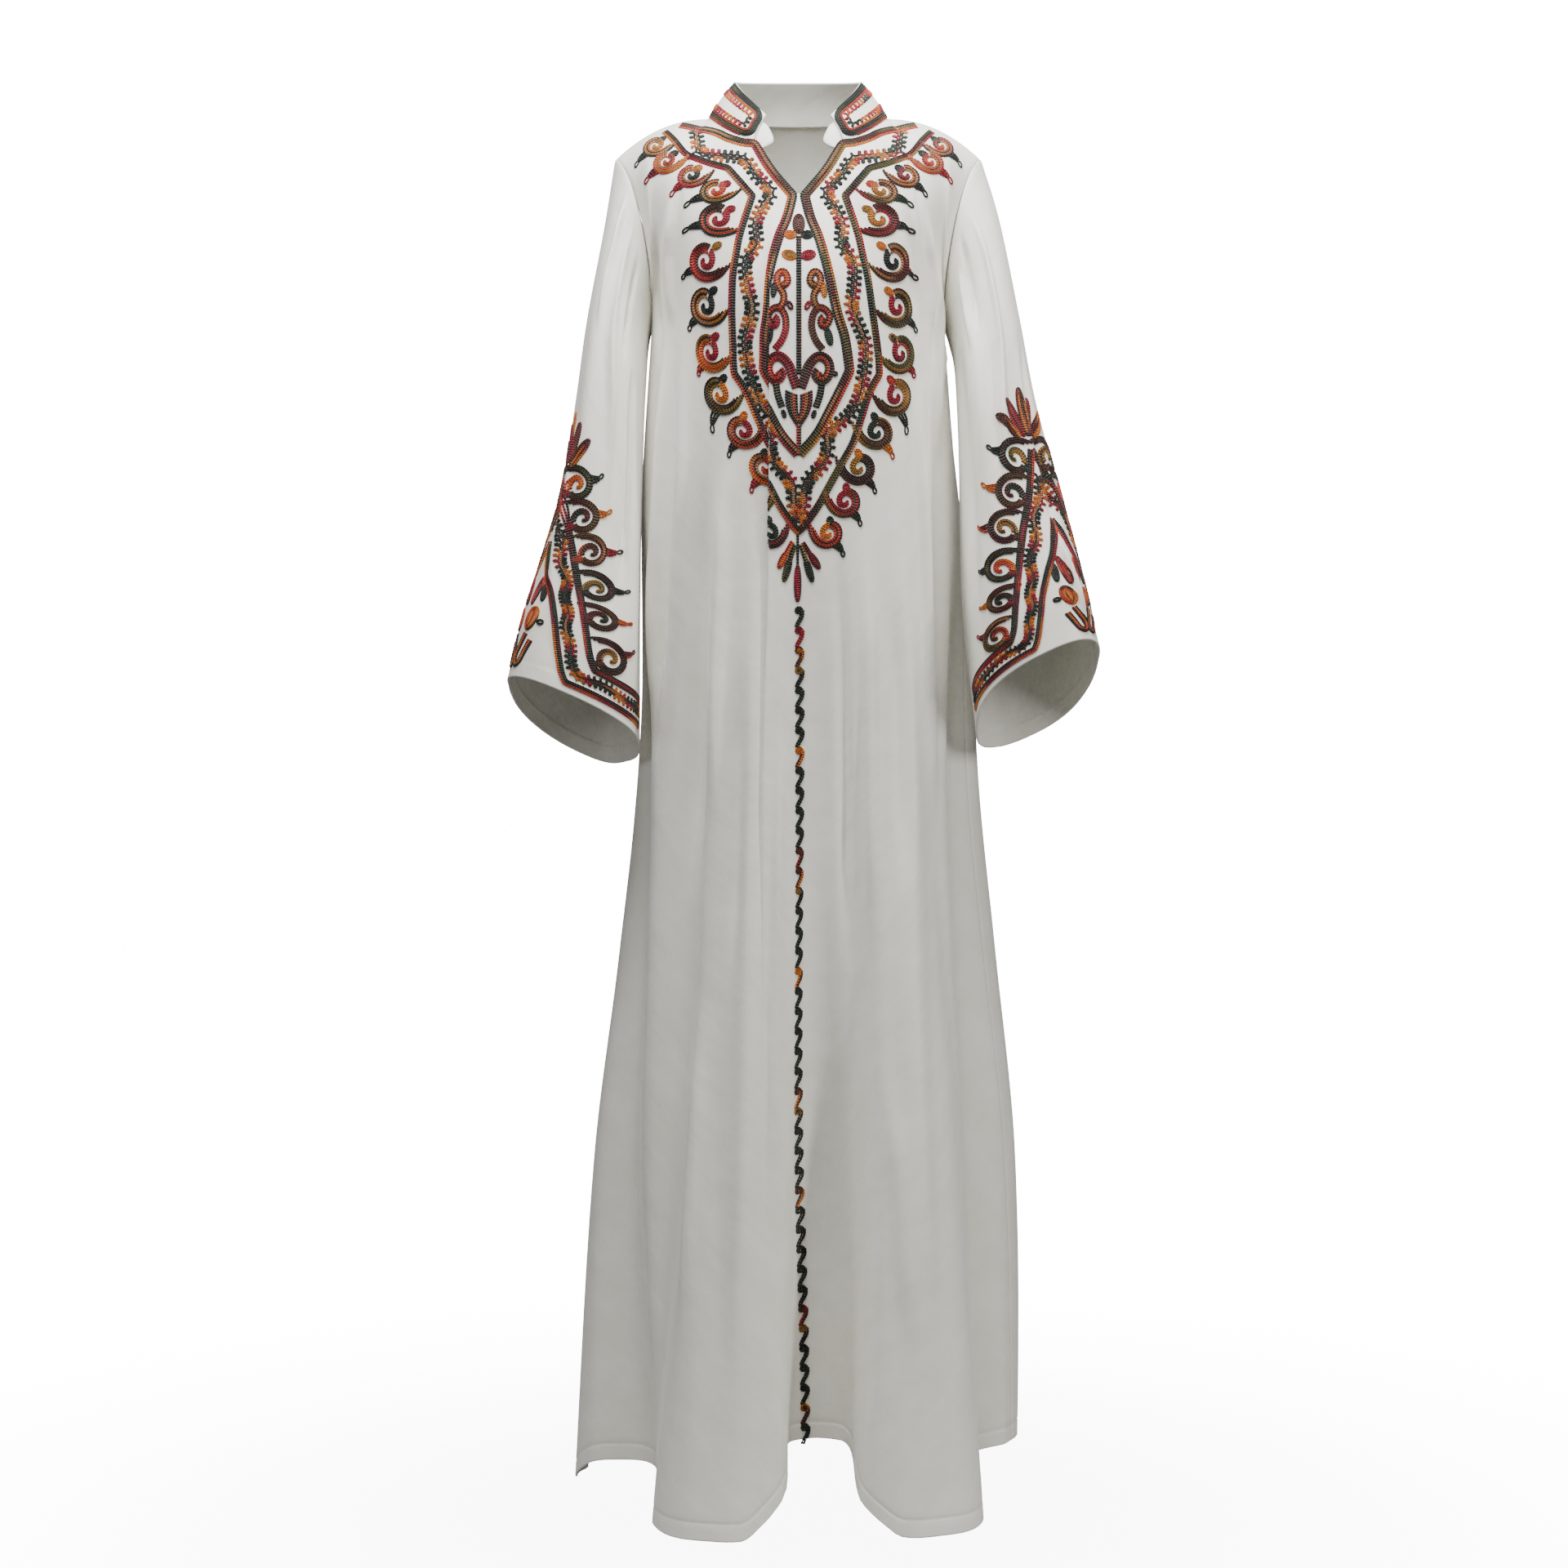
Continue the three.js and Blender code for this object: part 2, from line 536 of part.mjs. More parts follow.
// The stand collar's outer face: along runs from one front end (-1) round the back to the other (1)
function collarSurface(along, height) {
  const lift = vector(0, 0, seamGap + 0.1);
  const travelled = along * (neckEndAngle + 90);
  const side = travelled < 0 ? -1 : 1;
  const angle = Math.abs(travelled) - 90; // - at the back, + at the front
  const a = radians(angle);
  const low = necklinePoint(angle, side).add(lift);
  const front = angle > 0;
  const y = front ? -collarTopOval.front * Math.sin(a) : -collarTopOval.back * Math.sin(a);
  const z = front
    ? collarHeight - collarEndDrop * (angle / neckEndAngle) ** 1.3
    : collarHeight + collarBackRise * Math.sin(-a);
  const high = vector(side * collarTopOval.halfWidth * Math.cos(a), y, z);
  const bow = Math.sin(Math.PI * height) * collarBow;
  const out = vector(Math.cos(a) * side, -Math.sin(a), 0).multiplyScalar(bow);
  return low.lerp(high, height).add(out);
}

function collarRowsOf() {
  const columns = 36;
  const rowCount = 4;
  const rows = [];
  for (let r = rowCount; r >= 0; r--) {
    const row = [];
    for (let c = 0; c <= columns; c++) {
      const along = 1 - (2 * c) / columns;
      const point = collarSurface(along, r / rowCount);
      const outward = vector(point.x, point.y, 20);
      row.push({ point, normal: surfaceNormal(collarSurface, along, r / rowCount, outward) });
    }
    rows.push(row);
  }
  return rows;
}

// A small facing behind each front end of the collar, whose rounded edge shows past it
function facingRowsOf(side) {
  const rowCount = 8;
  const columns = 4;
  const rows = [];
  for (let r = rowCount; r >= 0; r--) {
    const t = r / rowCount;
    const height = mix(facingFoot, facingTop, t);
    const rim = 1 + facingBulge * Math.sqrt(Math.sin(Math.PI * mix(0.04, 0.96, t)));
    const row = [];
    for (let c = 0; c <= columns; c++) {
      const along = side * mix(1 - facingTuck, rim, c / columns);
      const outer = collarSurface(along, height);
      const step = 0.01;
      const round = collarSurface(along + step, height).sub(collarSurface(along - step, height));
      const up = collarSurface(along, height + step).sub(collarSurface(along, height - step));
      const normal = round.cross(up).normalize();
      if (normal.dot(vector(outer.x, outer.y, 20)) < 0) normal.negate();
      row.push({ point: outer.addScaledVector(normal, -collarWall - facingGap), normal });
    }
    rows.push(row);
  }
  return rows;
}

const ivoryCloth = new THREE.MeshStandardMaterial({ name: "ivory crepe", color: 0xf2f1ea, roughness: 0.55, metalness: 0 });
const ivoryCollar = new THREE.MeshStandardMaterial({ name: "collar crepe", color: 0xf0efe8, roughness: 0.6, metalness: 0 });

function clothMesh(name, rows, closedRound, wall, material) {
  const thickness = (r) => (r >= rows.length - 2 && wall === clothWall ? wall + turnedHemExtra : wall);
  const mesh = new THREE.Mesh(wallGeometry(rows, closedRound, thickness), material);
  mesh.name = name;
  return mesh;
}

const garment = new THREE.Group();
garment.name = "abaya";
garment.add(clothMesh("front_panel", panelRows(frontPanel), false, clothWall, ivoryCloth));
garment.add(clothMesh("back_panel", panelRows(backPanel), false, clothWall, ivoryCloth));
garment.add(clothMesh("sleeve_right", sleeveRowsOf(-1), true, clothWall, ivoryCloth));
garment.add(clothMesh("sleeve_left", sleeveRowsOf(1), true, clothWall, ivoryCloth));
garment.add(clothMesh("collar", collarRowsOf(), false, collarWall, ivoryCollar));
garment.add(clothMesh("facing_right", facingRowsOf(-1), false, facingWall, ivoryCloth));
garment.add(clothMesh("facing_left", facingRowsOf(1), false, facingWall, ivoryCloth));

export default garment;
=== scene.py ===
import json
import math
import random

import bpy
import bmesh
import numpy as np
from mathutils import Matrix, Vector
from mathutils.bvhtree import BVHTree

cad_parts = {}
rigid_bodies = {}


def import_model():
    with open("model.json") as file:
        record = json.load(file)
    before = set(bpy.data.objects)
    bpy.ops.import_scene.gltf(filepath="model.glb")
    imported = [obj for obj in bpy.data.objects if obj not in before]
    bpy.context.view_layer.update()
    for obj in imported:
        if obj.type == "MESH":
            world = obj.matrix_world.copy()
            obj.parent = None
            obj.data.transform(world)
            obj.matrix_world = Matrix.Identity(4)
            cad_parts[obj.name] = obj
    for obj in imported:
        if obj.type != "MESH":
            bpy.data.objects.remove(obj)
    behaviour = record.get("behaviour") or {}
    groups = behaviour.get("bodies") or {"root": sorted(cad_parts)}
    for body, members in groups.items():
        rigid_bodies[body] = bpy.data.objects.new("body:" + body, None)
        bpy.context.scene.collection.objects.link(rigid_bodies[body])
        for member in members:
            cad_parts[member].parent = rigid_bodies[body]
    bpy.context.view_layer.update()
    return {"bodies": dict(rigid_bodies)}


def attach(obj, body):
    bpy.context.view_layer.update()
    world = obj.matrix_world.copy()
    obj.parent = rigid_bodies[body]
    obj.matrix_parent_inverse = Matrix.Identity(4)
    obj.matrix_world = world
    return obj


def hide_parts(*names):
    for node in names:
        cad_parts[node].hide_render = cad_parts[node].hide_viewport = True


# A long ivory abaya with thick variegated chain stitch, dressed over its CAD frame.
# Sizes are in millimetres until a mesh is made. The front faces -Y, +X is the wearer's left.

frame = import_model()
metre = 0.001
bodyName = list(frame["bodies"])[0]


# Small sums

# A table as one dict for each row: the names of its columns, then the rows
def table(names, *rows):
    return [dict(zip(names.split(), row)) for row in rows]


def mix(a, b, share):
    return a + (b - a) * share


def smooth(value):
    t = np.clip(value, 0, 1)
    return t * t * (3 - 2 * t)


def bump(q, flat=0.0):
    slopePart = np.clip((np.abs(q) - flat) / (1 - flat), 0, 1)
    return np.cos(slopePart * np.pi / 2) ** 2


def turnBetween(angle, centre):
    return (angle - centre + 900) % 360 - 180


def vec(x, y, z):
    return np.stack(np.broadcast_arrays(np.asarray(x, float), y, z), axis=-1).astype(float)


def unit(v):
    return v / np.maximum(np.linalg.norm(v, axis=-1, keepdims=True), 1e-9)


def tableValue(rows, key, positions, at):
    values = np.array([row[key] for row in rows], float)
    places = np.asarray(positions, float)
    slopes = np.empty(len(values))
    for k in range(len(values)):
        a, b = max(0, k - 1), min(len(values) - 1, k + 1)
        slopes[k] = (values[b] - values[a]) / (places[b] - places[a])
    at = np.asarray(at, float)
    i = np.clip(np.searchsorted(places, at) - 1, 0, len(values) - 2)
    span = places[i + 1] - places[i]
    t = (at - places[i]) / span
    t2, t3 = t * t, t * t * t
    return ((2 * t3 - 3 * t2 + 1) * values[i] + (t3 - 2 * t2 + t) * span * slopes[i]
            + (3 * t2 - 2 * t3) * values[i + 1] + (t3 - t2) * span * slopes[i + 1])


# The garment's form: the sizes and formulas of its CAD source

garment = {
    "length": 1426,  # neck point to hem
    "underarm": 225,  # below the neck point
    "shoulderTip": (192, 0, -43),
    "shoulderRoundness": 2.2,
    "foldRoundness": 1.6,
    "fullFold": 40,
    "seamGap": 0.4,
    "sideLean": 0.15,  # of a yoke column at its foot
    "footHold": 0.37,  # of a yoke column's reach
    "capShare": 0.32,  # of a sleeve's length
    "ovalSquareness": 0.82,
}
neck = {
    "halfWidth": 93, "front": 80, "back": 70, "backRise": 8,
    "endAngle": 60, "endDrop": 40, "dropCurve": 1.5,
    "notchTop": (37, -76, -57), "notchFoot": (8, -97, -101),
}
collar = {
    "halfWidth": 66, "front": 63, "back": 52, "height": 38, "backRise": 13, "endDrop": 48, "dropCurve": 1.3,
    "bow": 2.5,
}
notchFootShare, notchTopShare, collarEndShare, neckPointShare = 2 / 20, 6 / 20, 8 / 20, 13 / 20
backNeckPointShare = 9 / 16

bodySections = table(
    "level halfWidth front back",
    (225, 154, 134, 112), (420, 165, 138, 118), (690, 164, 142, 130), (880, 179, 148, 144),
    (1085, 201, 155, 160), (1426, 219, 164, 180),
)
sectionLevels = [section["level"] for section in bodySections]

# Long folds: start level, angles, half width in degrees, flat share, depth halfway and at the hem
folds = table(
    "start top hem spread flat mid end midAt",
    (330, -22, -19, 25, 0.12, 20, 80), (430, 20, 5, 15, 0.25, -15, -50),
    (330, 40, 30, 26, 0.12, 20, 78), (240, -66, -52, 15, 0, 9, 2), (280, -84, -55, 18, 0.1, -13, -40),
    (500, -98, -88, 24, 0.15, 11, 15), (240, 66, 60, 13, 0, 6, -4), (280, 82, 67, 18, 0.2, -12, -46),
    (240, 108, 105, 26, 0.1, 12, 38), (240, 106, 104, 28, 0.1, 22, -20, 0.3),
    (480, 137, 132, 15, 0.1, -8, -28), (380, 152, 154, 20, 0.1, 14, 50),
    (360, 178, 177, 17, 0.2, -12, -34), (330, 196, 203, 23, 0.12, 16, 58),
    (460, 220, 229, 14, 0.1, -10, -32), (420, 240, 246, 15, 0.1, 12, 30),
)
hemLifts = table(
    "angle spread flat rise",
    (5, 18, 0.3, 70), (-62, 30, 0.2, 32), (98, 46, 0.3, 38), (178, 22, 0.1, 16), (229, 18, 0.1, 14),
)


def foldDepth(fold, level):
    midAt = fold.get("midAt", 0.5)
    t = np.clip((level - fold["start"]) / (garment["length"] - fold["start"]), 0, 1)
    middle = fold["mid"] * t * (1 - t) / (midAt * (1 - midAt))
    end = fold["end"] * t * (t - midAt) / (1 - midAt)
    return (middle + end) * smooth(t * 4)


def foldsAt(angle, level):
    push = 0.0
    for fold in folds:
        t = np.clip((level - fold["start"]) / (garment["length"] - fold["start"]), 0, 1)
        centre = mix(fold["top"], fold["hem"], t)
        shape = bump(turnBetween(angle, centre) / fold["spread"], fold["flat"])
        push = push + foldDepth(fold, level) * shape
    return push


def hemLevel(angle):
    level = garment["length"] + 0 * angle
    for lift in hemLifts:
        shape = bump(turnBetween(angle, lift["angle"]) / lift["spread"], lift["flat"])
        level = level - lift["rise"] * shape
    return level


def ringPoint(angle, level):
    angle, level = np.broadcast_arrays(np.asarray(angle, float), np.asarray(level, float))
    a = np.radians(angle)
    halfWidth = tableValue(bodySections, "halfWidth", sectionLevels, level)
    depth = np.where(np.cos(a) > 0, tableValue(bodySections, "front", sectionLevels, level),
                     tableValue(bodySections, "back", sectionLevels, level))
    point = vec(halfWidth * np.sin(a), -depth * np.cos(a), -level)
    out = unit(vec(np.sin(a) / halfWidth, -np.cos(a) / depth, 0))
    along = np.stack([-out[..., 1], out[..., 0], 0 * level], axis=-1)
    push = foldsAt(angle, level)
    slope = foldsAt(angle + 0.5, level) - foldsAt(angle - 0.5, level)
    lean = garment["foldRoundness"] * slope * np.clip(push / garment["fullFold"], -1, 1)
    return point + out * push[..., None] - along * lean[..., None]


def necklinePoint(angle, side):
    a = np.radians(np.asarray(angle, float))
    front = a > 0
    y = -np.sin(a) * np.where(front, neck["front"], neck["back"])
    drop = (np.abs(np.sin(a)) / math.sin(math.radians(neck["endAngle"]))) ** neck["dropCurve"]
    z = np.where(front, -neck["endDrop"] * drop, -neck["backRise"] * np.sin(a))
    return vec(side * neck["halfWidth"] * np.cos(a), y, z)


def shoulderPoint(side, t):
    tipX, tipY, tipZ = garment["shoulderTip"]
    return vec(side * mix(neck["halfWidth"], tipX, t), tipY, tipZ * t ** garment["shoulderRoundness"])


def pickShape(conditions, shapes, otherwise):
    return np.select([c[..., None] & np.ones(3, bool) for c in conditions], shapes, otherwise)


def frontTop(share):
    side = np.where(share < 0, -1, 1)
    s = np.abs(share)
    shoulder = shoulderPoint(side, np.clip((s - neckPointShare) / (1 - neckPointShare), 0, 1))
    neckTurn = np.clip((neckPointShare - s) / (neckPointShare - collarEndShare), 0, 1)
    neckLine = necklinePoint(neck["endAngle"] * neckTurn, side)
    end = necklinePoint(neck["endAngle"] + 0 * s, side)
    topX, topY, topZ = neck["notchTop"]
    footX, footY, footZ = neck["notchFoot"]
    top, foot = vec(side * topX, topY, topZ), vec(side * footX, footY, footZ)
    upper = mix(top, end, ((s - notchTopShare) / (collarEndShare - notchTopShare))[..., None])
    lower = mix(foot, top, ((s - notchFootShare) / (notchTopShare - notchFootShare))[..., None])
    level = vec(footX * share / notchFootShare, footY, footZ)
    return pickShape([s >= neckPointShare, s >= collarEndShare, s >= notchTopShare, s >= notchFootShare],
                     [shoulder, neckLine, upper, lower], level)


def backTop(share):
    side = np.where(share < 0, -1, 1)
    s = np.abs(share)
    shoulder = shoulderPoint(side, np.clip((s - backNeckPointShare) / (1 - backNeckPointShare), 0, 1))
    neckLine = necklinePoint(-90 * (1 - np.clip(s / backNeckPointShare, 0, 1)), side)
    return pickShape([s >= backNeckPointShare], [shoulder], neckLine)


frontPanel = {
    "fromAngle": -90, "toAngle": 90, "top": frontTop, "facing": -1,
    "directions": table(
        "share out forward fall hold lean",
        (0, 0, 0.42, 0.92, 0.34, 0), (0.3, 0.04, 0.46, 0.9, 0.36, 0), (0.48, 0.15, 0.64, 0.76, 0.44, 0),
        (0.65, 0.2, 0.84, 0.48, 0.58, 0.02), (0.85, 0.04, 0.92, 0.4, 0.56, 0.12),
        (1, -0.36, 0.9, 0.36, 0.42, 1.7),
    ),
}
backPanel = {
    "fromAngle": 270, "toAngle": 90, "top": backTop, "facing": 1,
    "directions": table(
        "share out forward fall hold lean",
        (0, 0, 0.5, 0.86, 0.34, 0), (0.3, 0.06, 0.6, 0.8, 0.38, 0), (0.56, 0.2, 0.84, 0.48, 0.54, 0.02),
        (0.8, 0.06, 0.92, 0.4, 0.54, 0.1), (1, -0.36, 0.9, 0.36, 0.42, 1.7),
    ),
}


# The angle of each share of a row's cloth, so that columns are spread evenly over the folds
def anglesOfRow(panel, levelAt, shares):
    angles = np.linspace(panel["fromAngle"], panel["toAngle"], 721)
    points = ringPoint(angles, levelAt(angles))
    lengths = np.concatenate([[0], np.cumsum(np.linalg.norm(np.diff(points, axis=0), axis=1))])
    return np.interp((shares + 1) / 2 * lengths[-1], lengths, angles)


# The panel above the underarm: each column is one smooth curve up to the top edge
def yokePoint(panel, share, rise):
    share, rise = np.broadcast_arrays(np.asarray(share, float), np.asarray(rise, float))
    side = np.where(share < 0, -1, 1)
    s = np.clip(np.abs(share), 0, 1)
    angle = anglesOfRow(panel, lambda a: garment["underarm"] + 0 * a, share)
    foot = ringPoint(angle, garment["underarm"])
    top = panel["top"](share)
    reach = np.linalg.norm(foot - top, axis=-1)
    places = [row["share"] for row in panel["directions"]]
    value = {key: tableValue(panel["directions"], key, places, s) for key in panel["directions"][0]}
    up = unit(vec(-side * garment["sideLean"] * value["lean"], panel["facing"] * value["lean"], 1))
    low = foot + up * (reach * garment["footHold"])[..., None]
    down = unit(vec(side * value["out"], panel["facing"] * value["forward"], -value["fall"]))
    high = top + down * (reach * value["hold"])[..., None]
    keep, rise = (1 - rise)[..., None], rise[..., None]
    return foot * keep ** 3 + low * 3 * keep ** 2 * rise + high * 3 * keep * rise ** 2 + top * rise ** 3


rightSleeve = {
    "side": -1,
    "sections": table(
        "outerX outerZ innerX innerZ midY halfDepth rise drop",
        (194, -46, 158, -224, 0, 46, 0, 0), (203, -112, 158, -240, -6, 53, 0, 0),
        (220, -218, 158, -268, -20, 57, 0, 0), (231, -306, 160, -322, -32, 58, 0, 0),
        (245, -400, 162, -416, -44, 60, 2, 4), (268, -482, 163, -508, -52, 65, 6, 12),
        (283, -532, 163, -572, -58, 70, 11, 24), (298, -597, 163, -656, -63, 75, 18, 38),
    ),
    "folds": table(
        "angle spread depth from to",
        (62, 30, 5, 0.1, 0.7), (112, 26, -7, 0.15, 1), (150, 24, 6, 0.3, 1.1), (222, 26, -8, 0.3, 1.2),
        (262, 30, 7, 0.25, 1.2), (310, 28, -6, 0.35, 1.1),
    ),
}
leftSleeve = {
    "side": 1,
    "sections": table(
        "outerX outerZ innerX innerZ midY halfDepth rise drop",
        (194, -46, 158, -224, 0, 46, 0, 0), (212, -112, 160, -240, -8, 53, 0, 0),
        (230, -218, 163, -268, -26, 57, 0, 0), (245, -306, 165, -322, -40, 58, 2, 2),
        (268, -398, 168, -414, -52, 61, 7, 9), (286, -474, 171, -500, -64, 66, 15, 20),
        (296, -520, 176, -562, -70, 70, 24, 32), (307, -572, 182, -632, -74, 74, 34, 46),
    ),
    "folds": table(
        "angle spread depth from to",
        (70, 26, -5, 0.2, 0.8), (118, 26, 8, 0.05, 0.75), (152, 22, -8, 0.1, 1), (214, 26, 9, 0.3, 1.2),
        (256, 26, -8, 0.3, 1.1), (304, 30, 6, 0.3, 1.1),
    ),
}


def armholePoint(side, turn):
    share = side + 0 * turn
    front = yokePoint(frontPanel, share, np.clip(1 - 2 * turn, 0, 1))
    back = yokePoint(backPanel, share, np.clip(2 * turn - 1, 0, 1))
    return np.where((turn <= 0.5)[..., None], front, back) + vec(side * garment["seamGap"] / 2, 0, 0)


# A sleeve's surface: turn runs once round from the outer edge through the front, along to the cuff
def sleevePoint(sleeve, turn, along):
    turn, along = np.broadcast_arrays(np.asarray(turn, float) % 1, np.asarray(along, float))
    side, sections = sleeve["side"], sleeve["sections"]
    places = np.linspace(0, 1, len(sections))

    def oval(turn, along):
        value = {key: tableValue(sections, key, places, along) for key in sections[0]}
        a = turn * 2 * np.pi
        outer = vec(side * value["outerX"], 0, value["outerZ"])
        inner = vec(side * value["innerX"], 0, value["innerZ"])
        across = np.sign(np.cos(a)) * np.abs(np.cos(a)) ** garment["ovalSquareness"]
        forward = np.sign(np.sin(a)) * np.abs(np.sin(a)) ** garment["ovalSquareness"]
        lift = forward * np.where(forward > 0, value["rise"], value["drop"])
        middle = (outer + inner) / 2
        return (middle + (outer - inner) / 2 * across[..., None]
                + vec(0, value["midY"] - value["halfDepth"] * forward, lift))

    point = oval(turn, along)
    centre = (oval(0 * turn, along) + oval(0 * turn + 0.5, along)) / 2
    out = unit(point - centre)
    cap = (1 - np.clip(along / garment["capShare"], 0, 1)) ** 2
    point = point + (armholePoint(side, turn) - oval(turn, 0 * along)) * cap[..., None]
    for fold in sleeve["folds"]:
        away = turnBetween(turn * 360, fold["angle"])
        place = np.clip((along - fold["from"]) / (fold["to"] - fold["from"]), 0, 1)
        point = point + out * (fold["depth"] * bump(away / fold["spread"]) * bump(2 * place - 1))[..., None]
    return point


def collarPoint(along, height):
    along, height = np.broadcast_arrays(np.asarray(along, float), np.asarray(height, float))
    travelled = along * (neck["endAngle"] + 90)
    side = np.where(travelled < 0, -1, 1)
    angle = np.abs(travelled) - 90
    a = np.radians(angle)
    low = necklinePoint(angle, side) + vec(0, 0, garment["seamGap"] + 0.1)
    y = -np.sin(a) * np.where(angle > 0, collar["front"], collar["back"])
    drop = collar["endDrop"] * (np.clip(angle, 0, 90) / neck["endAngle"]) ** collar["dropCurve"]
    frontHeight = collar["height"] - drop
    z = np.where(angle > 0, frontHeight, collar["height"] - collar["backRise"] * np.sin(a))
    high = vec(side * collar["halfWidth"] * np.cos(a), y, z)
    bow = (np.sin(np.pi * height) * collar["bow"])[..., None]
    return mix(low, high, height[..., None]) + vec(np.cos(a) * side, -np.sin(a), 0) * bow


print("form ready")


# Cloth sheets

cloth = {
    "thickness": 1.0,
    "hemWidth": 16,
    "hemExtra": 0.9,
    "grooveWidth": 2.2,
    "grooveDepth": 0.7,
    "hemGroove": 0.8,  # of the seams' groove
    "hemSharpness": 1.6,
    "rimBulge": 0.4,  # of the thickness
    "seamFade": 20,  # creases fade out towards a side seam
    "creaseScale": 2.7,
    "creaseSharpness": 1.3,
    "creaseEnds": 3,  # each end fades out over a third of the length
}

# The pleat beside the centre front: its left layer runs in under its right one
pleat = {
    "x": [(0, -31), (-480, -31), (-700, -36), (-1000, -40), (-1500, -40)],  # level and place
    "spread": 16,
    "overlap": [
        (-60, 0), (-130, 0), (-260, 6.5), (-430, 11.5), (-600, 12.5), (-720, 7), (-900, 0), (-1500, 0),
    ],
    "fullOverlap": 8,
    "shift": 0.7,  # of the overlap
    "lift": 3.4,
    "leftFade": 20,
    "rightFade": 30,
    "footColumn": 0.04,  # how far across the panel the column beside the centre lies
    "steps": 27,
}

# Soft creases: half width, height (ridge +, trough -), and x at each level
frontCreases = table(
    "width height path",
    (9, 3.2, [(-214, -132), (-330, -139), (-487, -148), (-640, -152)]),
    (13, 3.6, [(-196, -114), (-375, -117), (-519, -126), (-681, -141), (-800, -146)]),
    (8, -2.6, [(-230, -123), (-400, -128), (-560, -137), (-690, -147)]),
    (13, 3.4, [(-330, -62), (-425, -77), (-560, -82), (-760, -88)]),
    (16, -3.2, [(-350, -92), (-480, -100), (-640, -106), (-820, -112)]),
    (10, 3, [(-250, 122), (-400, 126), (-560, 132), (-760, 138)]),
    (7, 2.4, [(-150, 143), (-210, 146), (-290, 143), (-380, 141)]),
    (5, -2.4, [(-140, 155), (-200, 154), (-262, 150)]),
    (4, 1.8, [(-175, 158), (-225, 152), (-300, 148)]),
    (7, -1.6, [(-98, 108), (-160, 116), (-235, 119)]), (6, 2, [(-110, 131), (-170, 136), (-250, 135)]),
    (8, 2, [(-90, -130), (-160, -134), (-240, -128)]),
    (6, -2, [(-120, -147), (-190, -147), (-270, -141)]),
    (15, 2.8, [(-440, 66), (-560, 70), (-700, 72), (-880, 76)]),
    (12, -2.6, [(-430, 40), (-560, 44), (-720, 46), (-900, 48)]),
    (13, -2.4, [(-500, 96), (-640, 100), (-820, 104)]),
    (12, -2.4, [(-560, -58), (-700, -60), (-900, -66)]),
    (10, 1.8, [(-620, -17), (-760, -20), (-960, -24), (-1150, -26)]),
    (16, 2, [(-980, 92), (-1100, 100), (-1260, 108)]),
    (15, 2, [(-900, -96), (-1050, -106), (-1240, -118)]),
    (44, -2.9, [(-330, 0), (-560, 8), (-900, 12), (-1200, 15), (-1420, 18)]),
    (24, 3.2, [(-360, -42), (-620, -46), (-900, -50), (-1200, -56), (-1420, -60)]),
    (26, 3.6, [(-330, 104), (-560, 106), (-900, 112), (-1200, 122), (-1420, 128)]),
    (24, -3.4, [(-380, -98), (-620, -106), (-900, -116), (-1200, -132), (-1420, -142)]),
)
backCreases = table(
    "width height path",
    (12, 2.8, [(-60, -118), (-150, -132), (-260, -136), (-420, -140)]),
    (12, 2.8, [(-80, 112), (-170, 128), (-300, 134), (-460, 138)]),
    (20, -2.6, [(-70, -60), (-200, -70), (-360, -78), (-520, -84)]),
    (22, -2.4, [(-60, 40), (-180, 52), (-340, 60), (-560, 70)]),
    (22, 2.6, [(-240, 10), (-400, 6), (-640, 8), (-860, 12)]),
    (13, 3, [(-320, -108), (-480, -112), (-700, -118)]),
    (12, -2.6, [(-300, 104), (-460, 108), (-660, 112)]),
    (15, -2.8, [(-520, -40), (-700, -46), (-950, -52)]), (16, 3, [(-560, 62), (-760, 70), (-1000, 78)]),
    (14, 2.4, [(-800, -80), (-980, -92), (-1200, -104)]),
    (15, -2.4, [(-880, 120), (-1040, 132), (-1260, 146)]),
)

# Sleeve creases: the same, with the turn in degrees from the outer edge at each share of the length
rightSleeveCreases = table(
    "width height path",
    (7, 2.6, [(0.02, 74), (0.2, 84), (0.42, 96), (0.6, 102)]),
    (6, -2.2, [(0.04, 96), (0.2, 104), (0.34, 110)]), (8, 2.2, [(0.02, 46), (0.14, 58), (0.3, 66)]),
    (9, -3, [(0.3, 128), (0.5, 132), (0.75, 130)]), (9, 2, [(0.45, 40), (0.62, 52), (0.8, 60)]),
    (10, -2.6, [(0.05, 250), (0.25, 262), (0.5, 270)]), (9, 2.6, [(0.1, 300), (0.35, 296), (0.6, 290)]),
    (10, 2.6, [(0.5, 236), (0.7, 240), (0.95, 244)]),
)
leftSleeveCreases = table(
    "width height path",
    (7, 2.8, [(0.02, 60), (0.2, 74), (0.45, 90), (0.62, 98)]),
    (6, -2.4, [(0.02, 84), (0.12, 96), (0.26, 104)]), (6, 2.2, [(0.05, 104), (0.16, 112), (0.3, 118)]),
    (10, -2.2, [(0.3, 40), (0.5, 50), (0.72, 56)]), (8, 2.6, [(0.62, 60), (0.8, 50), (0.97, 44)]),
    (10, 2.8, [(0.05, 256), (0.3, 250), (0.55, 246)]), (9, -2.6, [(0.2, 292), (0.45, 286), (0.7, 282)]),
    (10, -2.6, [(0.5, 220), (0.75, 226), (0.96, 230)]),
)


